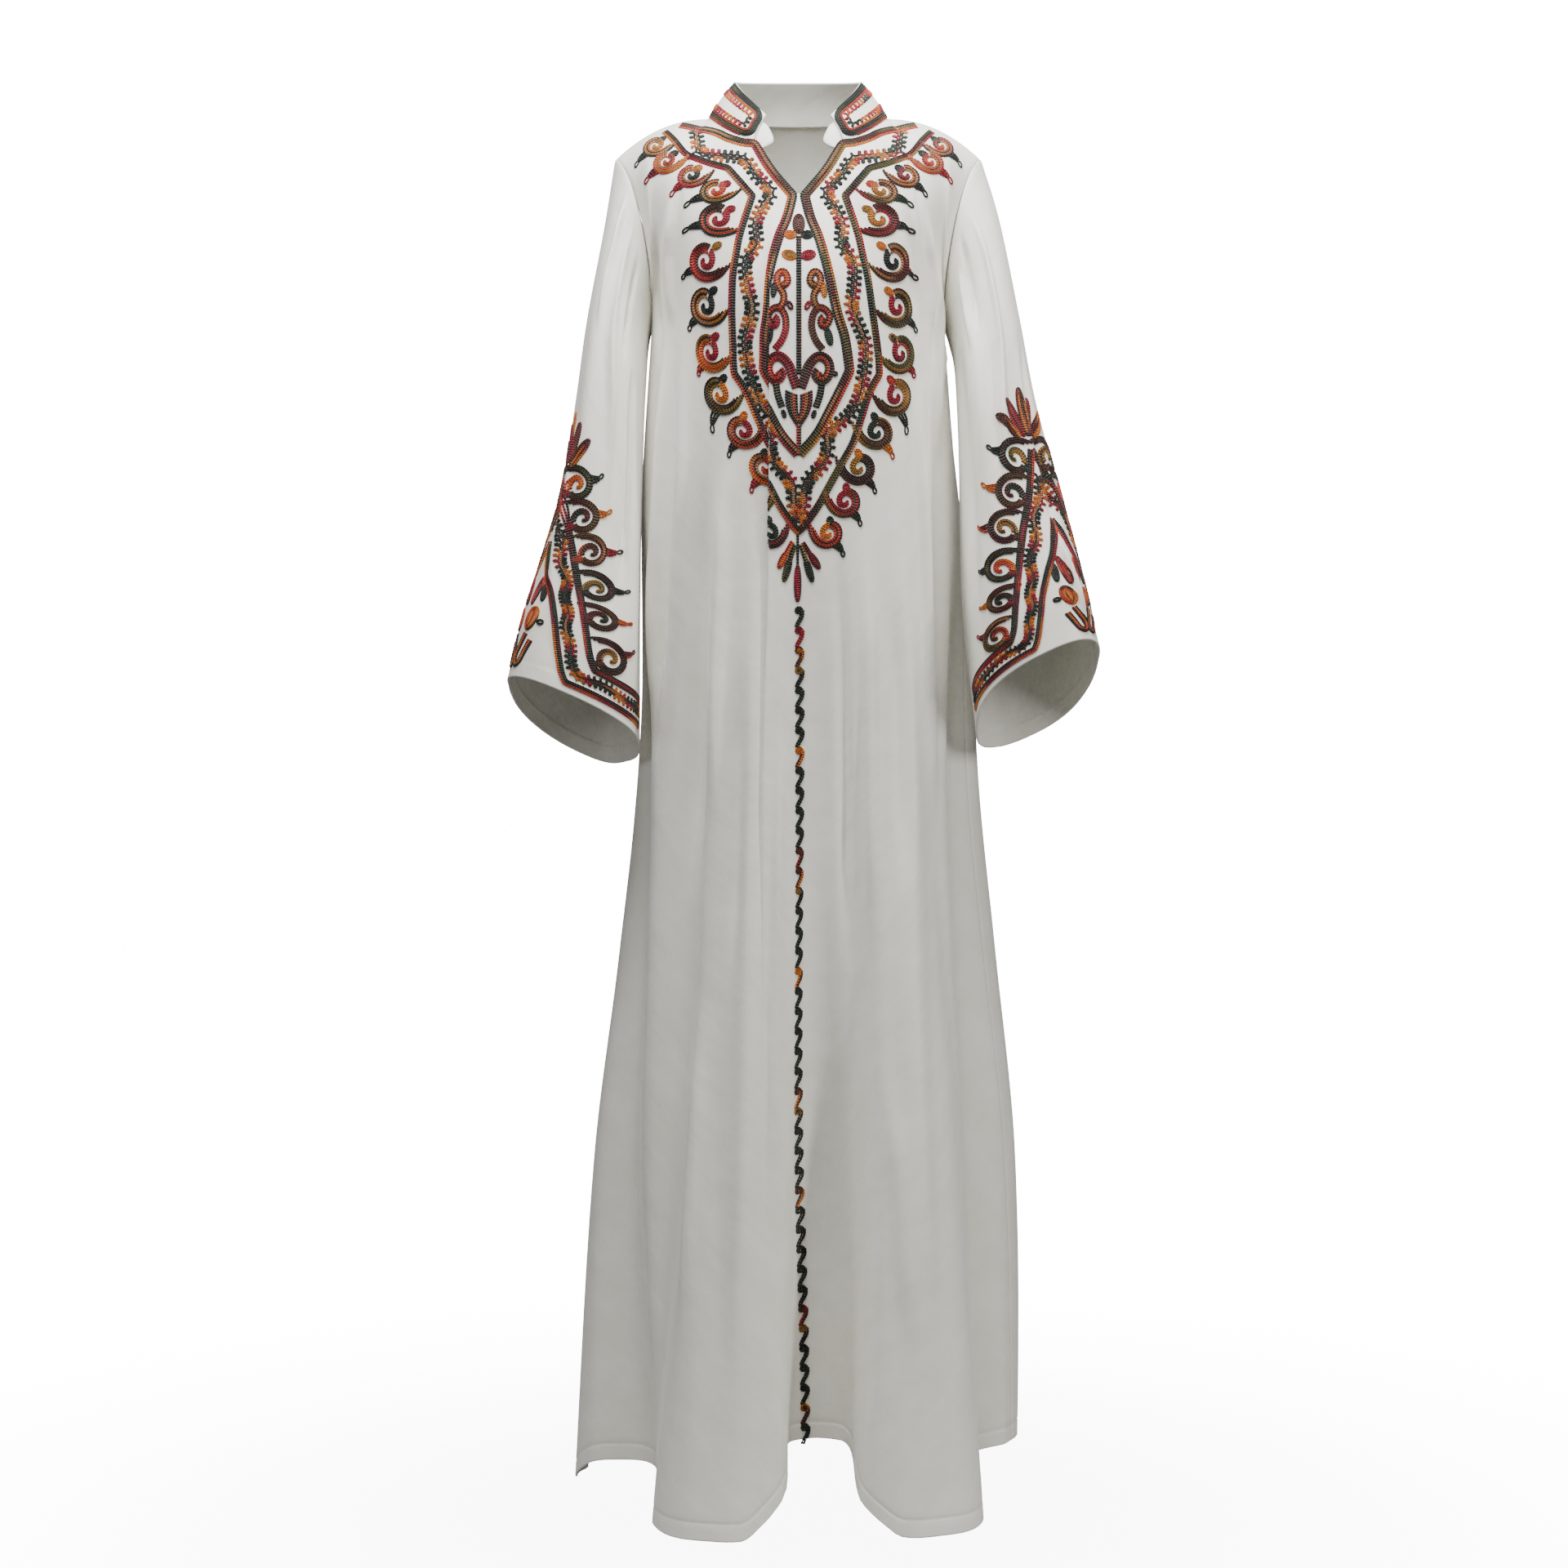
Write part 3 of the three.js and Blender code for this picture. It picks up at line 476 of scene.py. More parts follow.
# Height of a list of creases at places across and along the cloth
def creaseHeight(creases, across, along, period):
    height = np.zeros(across.shape)
    for crease in creases:
        path = sorted(crease["path"])
        places, centres = [p[0] for p in path], [p[1] for p in path]
        away = across - np.interp(along, places, centres)
        if period:
            away = (away + 1.5 * period) % period - period / 2
        t = np.clip((along - places[0]) / (places[-1] - places[0]), 0, 1)
        shape = bump(away / crease["width"]) ** cloth["creaseSharpness"]
        ends = smooth(t * cloth["creaseEnds"]) * smooth((1 - t) * cloth["creaseEnds"])
        height += cloth["creaseScale"] * crease["height"] * shape * ends
    return height


def gridNormals(points, closedRound, centre):
    if closedRound:
        across = np.roll(points, -1, axis=1) - np.roll(points, 1, axis=1)
    else:
        across = np.gradient(points, axis=1)
    normals = unit(np.cross(across, np.gradient(points, axis=0)))
    return normals * np.sign(np.sum(normals * (points - centre)))


# One mesh from numbered corners, made in metres
def makeMesh(name, points, triangles, material):
    mesh = bpy.data.meshes.new(name)
    points = np.asarray(points, float).reshape(-1, 3) * metre
    triangles = np.asarray(triangles, np.int32)
    mesh.vertices.add(len(points))
    mesh.vertices.foreach_set("co", points.ravel())
    mesh.loops.add(triangles.size)
    mesh.loops.foreach_set("vertex_index", triangles.ravel())
    mesh.polygons.add(len(triangles))
    mesh.polygons.foreach_set("loop_start", np.arange(0, triangles.size, 3, dtype=np.int32))
    mesh.update(calc_edges=True)
    mesh.validate()
    mesh.polygons.foreach_set("use_smooth", np.ones(len(mesh.polygons), bool))
    piece = bpy.data.objects.new(name, mesh)
    bpy.context.scene.collection.objects.link(piece)
    mesh.materials.append(material)
    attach(piece, bodyName)
    return piece


def facesOutward(piece):
    shell = bmesh.new()
    shell.from_mesh(piece.data)
    bmesh.ops.recalc_face_normals(shell, faces=shell.faces)
    shell.to_mesh(piece.data)
    shell.free()


# A closed shell round the outer skin's grid: skin, rim, inner skin and rim run round as one loop
def clothShell(name, points, normals, thickness, closedRound, uv, material):
    rows, columns = points.shape[:2]
    inner = points - normals * thickness[..., None]
    down = unit(np.gradient(points, axis=0))
    rimTop = (points[0] + inner[0]) / 2 - down[0] * thickness[0][..., None] * cloth["rimBulge"]
    rimFoot = (points[-1] + inner[-1]) / 2 + down[-1] * thickness[-1][..., None] * cloth["rimBulge"]
    loops = np.concatenate([points, rimFoot[None], inner[::-1], rimTop[None]])
    total = len(loops)
    r, c = np.meshgrid(np.arange(total), np.arange(columns if closedRound else columns - 1), indexing="ij")
    r, c = r.ravel(), c.ravel()
    nextRow, nextColumn = (r + 1) % total, (c + 1) % columns
    corners = [r * columns + c, nextRow * columns + c, nextRow * columns + nextColumn,
               r * columns + nextColumn]
    triangles = [np.stack([corners[0], corners[1], corners[2]], axis=-1),
                 np.stack([corners[0], corners[2], corners[3]], axis=-1)]
    if not closedRound:
        skin = np.arange(rows)
        lining = 2 * rows - skin
        for side in (0, columns - 1):
            a, b = skin * columns + side, lining * columns + side
            triangles += [np.stack([a[:-1], b[:-1], b[1:]], axis=-1),
                          np.stack([a[:-1], b[1:], a[1:]], axis=-1)]
            foot, top = rows * columns + side, (total - 1) * columns + side
            triangles.append(np.array([[a[-1], b[-1], foot], [a[0], b[0], top]]))
    piece = makeMesh(name, loops, np.concatenate(triangles), material)
    facesOutward(piece)
    layer = piece.data.uv_layers.new(name="cloth")
    flat = np.concatenate([uv, uv[-1:], uv[::-1], uv[:1]]).reshape(-1, 2) * metre
    corner = np.empty(len(piece.data.loops), np.int32)
    piece.data.loops.foreach_get("vertex_index", corner)
    layer.data.foreach_set("uv", flat[corner].ravel())
    return piece


# Materials

# A shader socket with the usual sums; one method adds any other node
class Field:
    def __init__(self, tree, socket=None):
        self.tree, self.socket = tree, socket

    def plug(self, target, value):
        if isinstance(value, Field):
            self.tree.links.new(value.socket, target)
        else:
            target.default_value = value

    def node(self, kind, inputs=(), output=0, **settings):
        made = self.tree.nodes.new(kind)
        for key, value in settings.items():
            setattr(made, key, value)
        for key, value in dict(inputs).items():
            self.plug(made.inputs[key], value)
        return Field(self.tree, made.outputs[output])

    def maths(self, operation, *values):
        return self.node("ShaderNodeMath", enumerate(values), operation=operation)

    def __add__(self, other):
        return self.maths("ADD", self, other)

    def __mul__(self, other):
        return self.maths("MULTIPLY", self, other)

    def ramp(self, low, high):
        inputs = {"Value": self, "From Min": low, "From Max": high}
        return self.node("ShaderNodeMapRange", inputs, interpolation_type="SMOOTHSTEP")

    def blend(self, first, second):
        return self.node("ShaderNodeMix", {0: self, 6: first, 7: second}, 2, data_type="RGBA")


def newMaterial(name):
    material = bpy.data.materials.new(name)
    material.use_nodes = True
    shader = material.node_tree.nodes["Principled BSDF"]
    return material, Field(material.node_tree), shader


# A display colour of 0 to 255 a channel, in linear light
def linear(*colour):
    return tuple(((c / 255 + 0.055) / 1.055) ** 2.4 if c > 10 else c / 3294.6 for c in colour) + (1,)


# Ivory crepe: a close weave, a soft unevenness and a low sheen
crepe = {
    "low": (240, 238, 227),
    "high": (245, 243, 234),
    "grainHeight": 0.00022,
    "softHeight": 0.0016,
    "surface": {
        "Roughness": 0.44, "Specular IOR Level": 0.32, "Sheen Weight": 0.22, "Sheen Roughness": 0.4,
    },
}


def ivoryCloth():
    material, field, shader = newMaterial("ivoryCrepe")
    weave = field.node("ShaderNodeUVMap", uv_map="cloth")
    noise = {"Vector": weave, "Scale": 1100.0, "Detail": 2.0, "Roughness": 0.6}
    grain = field.node("ShaderNodeTexNoise", noise)
    noise = {"Vector": weave, "Scale": 26.0, "Detail": 3.0, "Roughness": 0.55}
    soft = field.node("ShaderNodeTexNoise", noise)
    tone = soft.ramp(0.35, 0.68).blend(linear(*crepe["low"]), linear(*crepe["high"]))
    field.plug(shader.inputs["Base Color"], tone)
    height = grain * crepe["grainHeight"] + soft * crepe["softHeight"]
    bumped = field.node("ShaderNodeBump", {"Height": height, "Strength": 0.55, "Distance": 1.0})
    field.plug(shader.inputs["Normal"], bumped)
    for socket, value in crepe["surface"].items():
        shader.inputs[socket].default_value = value
    return material


ivory = ivoryCloth()


# Rows of a panel: "yoke" rows lie above the underarm at a rise, "skirt" rows below it at a share of the way
hemSteps = [30, 24, 19, 17.2, 16, 14.8, 13, 8, 3, 1, 0]
topSteps = [0, 0.006, 0.014, 0.028]
topRise, hemZone = 0.96, 40
skirtLength = garment["length"] - garment["underarm"]
sleeveLength = 600


def panelRowPlaces(yokeCount, skirtCount):
    rises = [*np.linspace(0, topRise, yokeCount, endpoint=False), topRise, *(1 - step for step in topSteps)]
    places = [("yoke", rise) for rise in sorted(rises)[::-1]]
    shares = list(np.linspace(0, 1 - hemZone / skirtLength, skirtCount))[1:]
    return places + [("skirt", share) for share in shares + [1 - step / skirtLength for step in hemSteps]]


def panelRow(panel, kind, place, shares):
    if kind == "yoke":
        return yokePoint(panel, shares, place)

    def levelAt(angle):
        return mix(garment["underarm"], hemLevel(angle), place)
    angles = anglesOfRow(panel, levelAt, shares)
    return ringPoint(angles, levelAt(angles))


def spreadShares(stops, edges=()):
    shares = list(edges) + [stops[-1][1]]
    for (start, end, count) in stops:
        shares += list(np.linspace(start, end, count, endpoint=False))
    return np.array(sorted(shares))


def pathValue(path, along):
    path = sorted(path)
    return float(np.interp(along, [p[0] for p in path], [p[1] for p in path]))


seamSide = [0.0035, 0.008, 0.014]
leftEdges = [-1 + step for step in seamSide]
rightEdges = [1 - step for step in seamSide]


# One row of the front, with its pleat, and how far across the flat cloth each corner lies
def pleatedRow(kind, place):
    probe = np.linspace(-1, 1, 401)
    base = panelRow(frontPanel, kind, place, probe)
    level = float(np.interp(0, probe, base[:, 2]))
    overlap = pathValue(pleat["overlap"], level)
    middle = np.abs(probe) < 0.32
    perShare = float(np.interp(-0.1, probe, base[:, 0]) - np.interp(-0.2, probe, base[:, 0])) / 0.1
    half = min(pleat["spread"] / 2 / perShare, 0.05)
    target = pathValue(pleat["x"], level) + pleat["shift"] * overlap
    centre = float(np.interp(target, base[middle, 0], probe[middle]))
    # The pleat stays between the columns that run up to the notch's top and to its foot
    corner = -pleat["footColumn"]
    if kind == "yoke":
        corner = mix(corner, -notchFootShare, float(smooth((place - 0.55) / 0.35)))
    centre = float(np.clip(centre, half - 0.96 * notchTopShare, corner - half - 0.006))
    q = np.linspace(0, 1, pleat["steps"])[1:-1]
    left = spreadShares([(-1, -neckPointShare, 34), (-neckPointShare, -collarEndShare, 16),
                         (-collarEndShare, -notchTopShare, 7), (-notchTopShare, centre - half, 8)], leftEdges)
    right = spreadShares([(centre + half, corner, 5), (corner, notchFootShare, 12),
                          (notchFootShare, notchTopShare, 12), (notchTopShare, collarEndShare, 7),
                          (collarEndShare, neckPointShare, 16), (neckPointShare, 1, 34)], rightEdges)
    through = centre + (q - 0.5) * 2 * half + overlap * np.sin(2 * np.pi * q) / perShare
    row = panelRow(frontPanel, kind, place, np.concatenate([left, through, right]))
    span = panelRow(frontPanel, kind, place, centre + np.linspace(-half, half, pleat["steps"]))
    rise = np.concatenate([
        -np.exp(-(centre - half - left) * perShare / pleat["leftFade"]),
        -np.cos(np.pi * q),
        np.exp(-(right - centre - half) * perShare / pleat["rightFade"]),
    ]) * pleat["lift"] * min(1, overlap / pleat["fullOverlap"])
    row = row - vec(0, rise, 0)
    first, last = len(left) - 1, len(left) + len(q)
    steps = np.linalg.norm(np.diff(row[first:last + 1], axis=0), axis=1)
    lengths = np.concatenate([[0], np.cumsum(steps)])
    flat = row[:, 0].copy()
    flat[:first + 1] -= max(0, lengths[-1] - np.linalg.norm(np.diff(span, axis=0), axis=1).sum())
    flat[first:last + 1] = mix(flat[first], flat[last], lengths / lengths[-1])
    return row, flat


# Distance along the cloth from a grid's columns or rows, in mm
def lengthsAcross(points):
    steps = np.linalg.norm(np.diff(points, axis=1), axis=-1)
    return np.concatenate([np.zeros((len(points), 1)), np.cumsum(steps, axis=1)], axis=1)


def lengthsDown(points):
    return lengthsAcross(points.swapaxes(0, 1)).T


def seamDip(distance):
    return -cloth["grooveDepth"] * np.exp(-(distance / cloth["grooveWidth"]) ** 2)


# A finished sheet: creased, with seams drawn in at its joined edges and a turned hem at its foot
def finishSheet(name, points, creases, across, along, closedRound):
    if closedRound:
        centre = points.mean(axis=1, keepdims=True)
        joinedTop = 1.0
    else:
        centre = points.mean(axis=(0, 1)) * (0, 0, 1)
        joinedTop = (np.abs(points[0, :, 0]) > neck["halfWidth"]) * 1.0
    normals = gridNormals(points, closedRound, centre)
    down, wide = lengthsDown(points), lengthsAcross(points)
    toFoot = down[-1] - down
    push = creaseHeight(creases, across, along, 360 if closedRound else None)
    if not closedRound:
        toSide = np.minimum(wide, wide[:, -1:] - wide)
        push = push * smooth(toSide / cloth["seamFade"]) + seamDip(toSide)
    push = push + seamDip(down) * joinedTop
    push = push + seamDip((toFoot - cloth["hemWidth"]) * cloth["hemSharpness"]) * cloth["hemGroove"]
    points = points + normals * push[..., None]
    normals = gridNormals(points, closedRound, centre)
    thickness = cloth["thickness"] + cloth["hemExtra"] * smooth((cloth["hemWidth"] + 1 - toFoot) / 2)
    uv = np.stack([wide - wide.mean(axis=1, keepdims=True), -down], axis=-1)
    piece = clothShell(name, points, normals, thickness, closedRound, uv, ivory)
    return {"piece": piece, "points": points, "normals": normals, "wide": wide}


def makeFront():
    rows = [pleatedRow(kind, place) for kind, place in panelRowPlaces(46, 104)]
    points, flat = np.array([row[0] for row in rows]), np.array([row[1] for row in rows])
    sheet = finishSheet("frontCloth", points, frontCreases, points[..., 0], points[..., 2], False)
    sheet["flat"] = np.stack([flat, points[..., 2]], axis=-1)
    return sheet


def makeBack():
    shares = spreadShares([(-1, -backNeckPointShare, 32), (-backNeckPointShare, backNeckPointShare, 70),
                           (backNeckPointShare, 1, 32)], leftEdges + rightEdges)
    points = np.array([panelRow(backPanel, kind, place, shares) for kind, place in panelRowPlaces(40, 96)])
    return finishSheet("backCloth", points, backCreases, points[..., 0], points[..., 2], False)


def makeSleeve(name, sleeve, creases):
    turns = sorted([*np.linspace(0, 1, 120, endpoint=False), 0.493, 0.5035, 0.5075])
    shares = [0, 0.004, 0.01, 0.02, *np.linspace(0.03, 0.94, 92)]
    shares += [1 - step / sleeveLength for step in hemSteps]
    turn, along = np.meshgrid(np.array(turns), np.array(shares))
    points = sleevePoint(sleeve, turn, along)
    sheet = finishSheet(name, points, creases, turn * 360, along, True)
    front = sheet["wide"]
    total = front[:, -1:] + np.linalg.norm(sheet["points"][:, :1] - sheet["points"][:, -1:], axis=-1)
    signed = np.where(turn > 0.62, front - total, front)
    sheet["flat"] = np.stack([signed, -along * sleeveLength], axis=-1)
    return sheet


front = makeFront()
back = makeBack()
sleeves = {
    "right": makeSleeve("rightSleeveCloth", rightSleeve, rightSleeveCreases),
    "left": makeSleeve("leftSleeveCloth", leftSleeve, leftSleeveCreases),
}
print("cloth ready")


# The stand collar and the two facings inside the notch

collarWall, facingWall, facingGap = 2.4, 1.2, 0.7


def makeCollar():
    alongs = np.linspace(-1, 1, 181)
    heights = np.array([1, 0.985, 0.95, 0.9, 0.8, 0.7, 0.6, 0.5, 0.4, 0.3, 0.2, 0.1, 0.05, 0.015, 0])
    along, height = np.meshgrid(alongs, heights)
    points = collarPoint(along, height)
    normals = gridNormals(points, False, points.mean(axis=(0, 1)))
    normals = normals * np.sign(np.sum(normals * (points * [1, 1, 0]), axis=-1).mean())
    wide, down = lengthsAcross(points), lengthsDown(points)
    uv = np.stack([wide, -down], axis=-1)
    piece = clothShell("collarCloth", points, normals, collarWall + 0 * down, False, uv, ivory)
    return {"piece": piece, "points": points, "normals": normals}


def collarNormal(along, height):
    step = 1e-3
    across = collarPoint(along + step, height) - collarPoint(along - step, height)
    upward = collarPoint(along, height + step) - collarPoint(along, height - step)
    return unit(np.cross(upward, across))


def makeFacing(name, side):
    top, foot, tuck, bulge = 0.8, -0.22, 0.07, 0.085
    rows = []
    for t in np.linspace(0, 1, 17)[::-1]:
        rim = 1 + bulge * math.sqrt(math.sin(math.pi * mix(0.04, 0.96, t)))
        alongs = side * mix(1 - tuck, rim, np.linspace(0, 1, 9))
        heights = np.full(9, mix(foot, top, t))
        normals = collarNormal(alongs, heights)
        rows.append((collarPoint(alongs, heights) - normals * (collarWall + facingGap), normals))
    points, normals = np.array([row[0] for row in rows]), np.array([row[1] for row in rows])
    uv = np.stack([lengthsAcross(points), -lengthsDown(points)], axis=-1)
    piece = clothShell(name, points, normals, facingWall + 0 * uv[..., 0], False, uv, ivory)
    return {"piece": piece, "points": points}


collarSheet = makeCollar()
facings = {"right": makeFacing("rightFacingCloth", -1), "left": makeFacing("leftFacingCloth", 1)}

for sheet, node, slot in (
        (front, "front_panel", "ivory_cloth"), (back, "back_panel", "ivory_cloth"),
        (sleeves["right"], "sleeve_right", "ivory_cloth"), (sleeves["left"], "sleeve_left", "ivory_cloth"),
        (collarSheet, "collar", "ivory_collar"),
        (facings["right"], "facing_right", "ivory_collar"),
        (facings["left"], "facing_left", "ivory_collar")):
    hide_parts(node)
print("collar ready")


# Embroidery: thick variegated chain stitch, drawn on the flat cloth and laid on the dressed one

threads = {
    "green": (34, 50, 36), "black": (27, 29, 26), "brown": (82, 42, 26), "maroon": (88, 18, 26),
    "crimson": (156, 20, 44), "coral": (196, 66, 38), "orange": (212, 116, 20), "mustard": (158, 112, 38),
    "olive": (86, 80, 36), "tan": (176, 120, 72),
}
row = {
    "width": 2.6, "full": 3.0, "pitch": 2.8, "fine": 2.7, "finePitch": 2.2, "leaf": 2.8, "leafPitch": 2.3,
    "loopStep": 0.35,
}
dye = random.Random(11)


# A flat cloth and its dressed form, joined corner by corner: a spot on the first is found on the second
class ClothMap:
    def __init__(self, flat, points, normals):
        rows, columns = flat.shape[:2]
        self.points, self.normals = points.reshape(-1, 3), normals.reshape(-1, 3)
        self.flat = flat.reshape(-1, 2)
        first = (np.arange(rows - 1)[:, None] * columns + np.arange(columns - 1)).ravel()
        corners = np.stack([first, first + 1, first + columns + 1, first + columns], axis=-1)
        self.triangles = np.concatenate([corners[:, [0, 1, 2]], corners[:, [0, 2, 3]]])
        spots = [(x, 0, z) for x, z in self.flat.tolist()]
        self.tree = BVHTree.FromPolygons(spots, self.triangles.tolist())

    def place(self, spots):
        hits = []
        for x, z in spots.tolist():
            hit = self.tree.ray_cast(Vector((x, -9, z)), Vector((0, 1, 0)))[2]
            hits.append(self.tree.find_nearest(Vector((x, 0, z)))[2] if hit is None else hit)
        corners = self.triangles[hits]
        a, b, c = (self.flat[corners[:, k]] for k in range(3))
        across, down, away = b - a, c - a, spots - a
        area = across[:, 0] * down[:, 1] - across[:, 1] * down[:, 0]
        area = np.where(np.abs(area) < 1e-9, 1e-9, area)
        v = (away[:, 0] * down[:, 1] - away[:, 1] * down[:, 0]) / area
        w = (across[:, 0] * away[:, 1] - across[:, 1] * away[:, 0]) / area
        share = np.stack([1 - v - w, v, w], axis=-1)[..., None]
        return (self.points[corners] * share).sum(axis=1), unit((self.normals[corners] * share).sum(axis=1))


# The collar's outer face, laid out flat in mm
class CollarMap:
    def __init__(self, halfLength, height):
        self.scale = np.array([halfLength, height])

    def place(self, spots):
        along, height = (spots / self.scale).T
        return collarPoint(along, height), collarNormal(along, height)


# Paths on the flat cloth: a smooth line through points, sharp at the numbered ones
def curve(points, corners=()):
    points = np.array(points, float)
    stops = [0, *corners, len(points) - 1]
    path = [points[:1]]
    t = np.linspace(0, 1, 9)[1:, None]
    for start, end in zip(stops, stops[1:]):
        run = points[start:end + 1]
        run = np.concatenate([[2 * run[0] - run[1]], run, [2 * run[-1] - run[-2]]])
        for p, q, r, s in zip(run, run[1:], run[2:], run[3:]):
            path.append((2 * q + (r - p) * t + (2 * p - 5 * q + 4 * r - s) * t ** 2
                         + (3 * q - p - 3 * r + s) * t ** 3) / 2)
    return np.concatenate(path)


def pathLengths(path):
    return np.concatenate([[0], np.cumsum(np.linalg.norm(np.diff(path, axis=0), axis=1))])


def spaced(path, pitch):
    lengths = pathLengths(path)
    at = np.linspace(0, lengths[-1], max(2, round(lengths[-1] / pitch) + 1))
    return np.stack([np.interp(at, lengths, path[:, 0]), np.interp(at, lengths, path[:, 1])], axis=-1)


def sideways(path):
    ahead = unit(np.gradient(path, axis=0))
    return np.stack([-ahead[:, 1], ahead[:, 0]], axis=-1)


def beside(path, distance):
    path = spaced(path, 2.0)
    return path + sideways(path) * distance


def turned(points, centre, degrees):
    a = math.radians(degrees)
    points = np.asarray(points, float)
    return np.stack([points[:, 0] * math.cos(a) - points[:, 1] * math.sin(a),
                     points[:, 0] * math.sin(a) + points[:, 1] * math.cos(a)], axis=-1) + centre


def ellipse(length, width, start=0, end=360):
    a = np.radians(np.linspace(start, end, 25))
    return np.stack([np.cos(a) * length / 2, np.sin(a) * width / 2], axis=-1)


# The middle line of a scroll's band: how far it lies from the centre at each turn, in degrees
scrollForm = {
    "turns": (180, 205, 235, 270, 360, 450, 540, 630, 720, 810),
    "reach": (28, 22, 17.5, 15.2, 14.2, 13.8, 9.4, 6.2, 4.2, 1.6),
    "turnStep": 9.0,
    "narrowing": 0.42,
    "narrowFrom": 450,
    "bandEnd": 474,
    "curlStart": 480,
    "curlEnd": 800,
    "innerCurlEnd": 700,
    "rootStep": 6,
    "budPlace": 0.84,
    "budTurn": 22,
    "budSize": (12, 8),
    "beakStart": 17.5,
}


# The stitch rows of one piece
class Pattern:
    def __init__(self, middle=0, side=1):
        self.rows, self.middle, self.side = [], middle, side

    def add(self, path, tones, width=row["full"], pitch=row["pitch"]):
        path = np.asarray(path, float) * (self.side, 1) + (self.middle, 0)
        self.rows.append((path, tones, width, pitch))

    def band(self, path, toneRows, pitch=row["width"]):
        for k, tones in enumerate(toneRows):
            self.add(beside(path, (k - (len(toneRows) - 1) / 2) * pitch), tones)

    # A leaf: rings inside each other round a middle row, or one ring alone when it is open
    def leaf(self, centre, degrees, length, width, tones, open=False):
        thread = tones, row["leaf"], row["leafPitch"]
        while width > 1.6:
            self.add(turned(ellipse(length - 2, width - 2, 180, 540), centre, degrees), *thread)
            if open:
                return
            length, width = length - 4.4, width - 4.2
        self.add(turned([(-length / 2 + 1, 0), (length / 2 - 1, 0)], centre, degrees), *thread)

    # Loops of thread that run along a stem, on one side of it
    def loops(self, stem, side, tones, reach, radius, pitch, start=0):
        turn = pathLengths(stem) / pitch * 2 * np.pi + start
        ahead, aside = unit(np.gradient(stem, axis=0)), sideways(stem) * side
        ring = ahead * np.cos(turn)[:, None] + aside * np.sin(turn)[:, None]
        self.add(stem + aside * reach + ring * radius, tones, row["fine"], row["finePitch"])

    def vine(self, path, stemTones, leftTones, rightTones, reach=4.7, radius=2.7, pitch=6.5):
        stem = spaced(path, row["loopStep"])
        self.add(stem, stemTones, 2.4, 2.4)
        for side, tones in ((1, leftTones), (-1, rightTones)):
            self.loops(stem, side, tones, reach, radius, pitch, side)

    # A leaf on the line from its foot to its tip
    def leafAlong(self, foot, tip, width, tones, centre=0.5, share=1):
        foot, ahead = np.array(foot), np.subtract(tip, foot)
        degrees = math.degrees(math.atan2(ahead[1], ahead[0]))
        self.leaf(foot + ahead * centre, degrees, np.linalg.norm(ahead) * share, width, tones)

    # A scroll: a band sweeps under from the root, up over the top and into a curl of another tone
    def scroll(self, centre, tip, tones, wide, squash, tilt, budAt, root, bandRows=4):
        outer, middle, core, bud, beak = tones
        centre, tip = np.array(centre, float), np.array(tip, float)

        def spiral(k, start, end):
            turn = np.arange(start, end + 1, scrollForm["turnStep"])
            narrow = 1 - scrollForm["narrowing"] * smooth((turn - scrollForm["narrowFrom"]) / 300)
            offset = (k - (bandRows - 1) / 2) * row["width"] * narrow
            reach = np.maximum(np.interp(turn, scrollForm["turns"], scrollForm["reach"]) - offset, 0.7)
            a = np.radians(turn)
            points = np.stack([np.cos(a) * reach * wide, np.sin(a) * reach * squash], axis=-1)
            return turned(points, centre, tilt)
        for k in range(bandRows):
            start = root + scrollForm["rootStep"] * k
            self.add(spiral(k, start, scrollForm["bandEnd"]), (outer, middle)[k % 2])
            if k or bandRows < 4:
                end = scrollForm["curlEnd" if k < bandRows - 1 else "innerCurlEnd"]
                self.add(spiral(k, scrollForm["curlStart"], end), core)
        budTurn = math.degrees(math.atan2(budAt[1], budAt[0])) + scrollForm["budTurn"]
        self.leaf(centre + np.array(budAt) * scrollForm["budPlace"], budTurn, *scrollForm["budSize"], bud)
        edge = tip - centre
        edge = edge / np.linalg.norm(edge)
        reach = scrollForm["beakStart"] / math.hypot(edge[0] / wide, edge[1] / squash)
        self.beak(centre, tip, beak, reach)

    def beak(self, centre, tip, tones, reach):
        ahead = unit(tip - centre)
        aside = np.array([-ahead[1], ahead[0]])
        start = centre + ahead * (reach - 1)
        length = np.linalg.norm(tip - start)

        def at(share, offset):
            return start + ahead * length * share + aside * (offset + 2.2 * math.sin(math.pi * share))
        for k in (-1, 0, 1):
            self.add(curve([at(0.04, k * 3.4), at(0.3, k * 2.9), at(0.6, k * 1.1)]), tones, 2.9)
        loop = [at(0.56, 0), at(0.74, 1.7), at(0.93, 1.5), at(1, 0), at(0.93, -1.5), at(0.74, -1.7),
                at(0.56, 0)]
        self.add(curve(loop), tones, 2.1, 2.0)


# The dye runs along a thread: each tone holds for a few centimetres and melts into the next
dyeing = {"hold": (8, 20), "melt": 2}  # in chain links


def dyed(count, tones):
    names = tones.split()
    places, colours = [], []
    place, k = -dye.uniform(0, 8), dye.randrange(len(names))
    while place < count:
        hold = dye.uniform(*dyeing["hold"])
        places += [place + dyeing["melt"], place + hold - dyeing["melt"]]
        colours += [linear(*threads[names[k % len(names)]])[:3]] * 2
        place, k = place + hold, k + 1
    colours = np.array(colours)
    at = np.arange(count)
    return np.stack([np.interp(at, places, colours[:, channel]) for channel in range(3)], axis=-1)


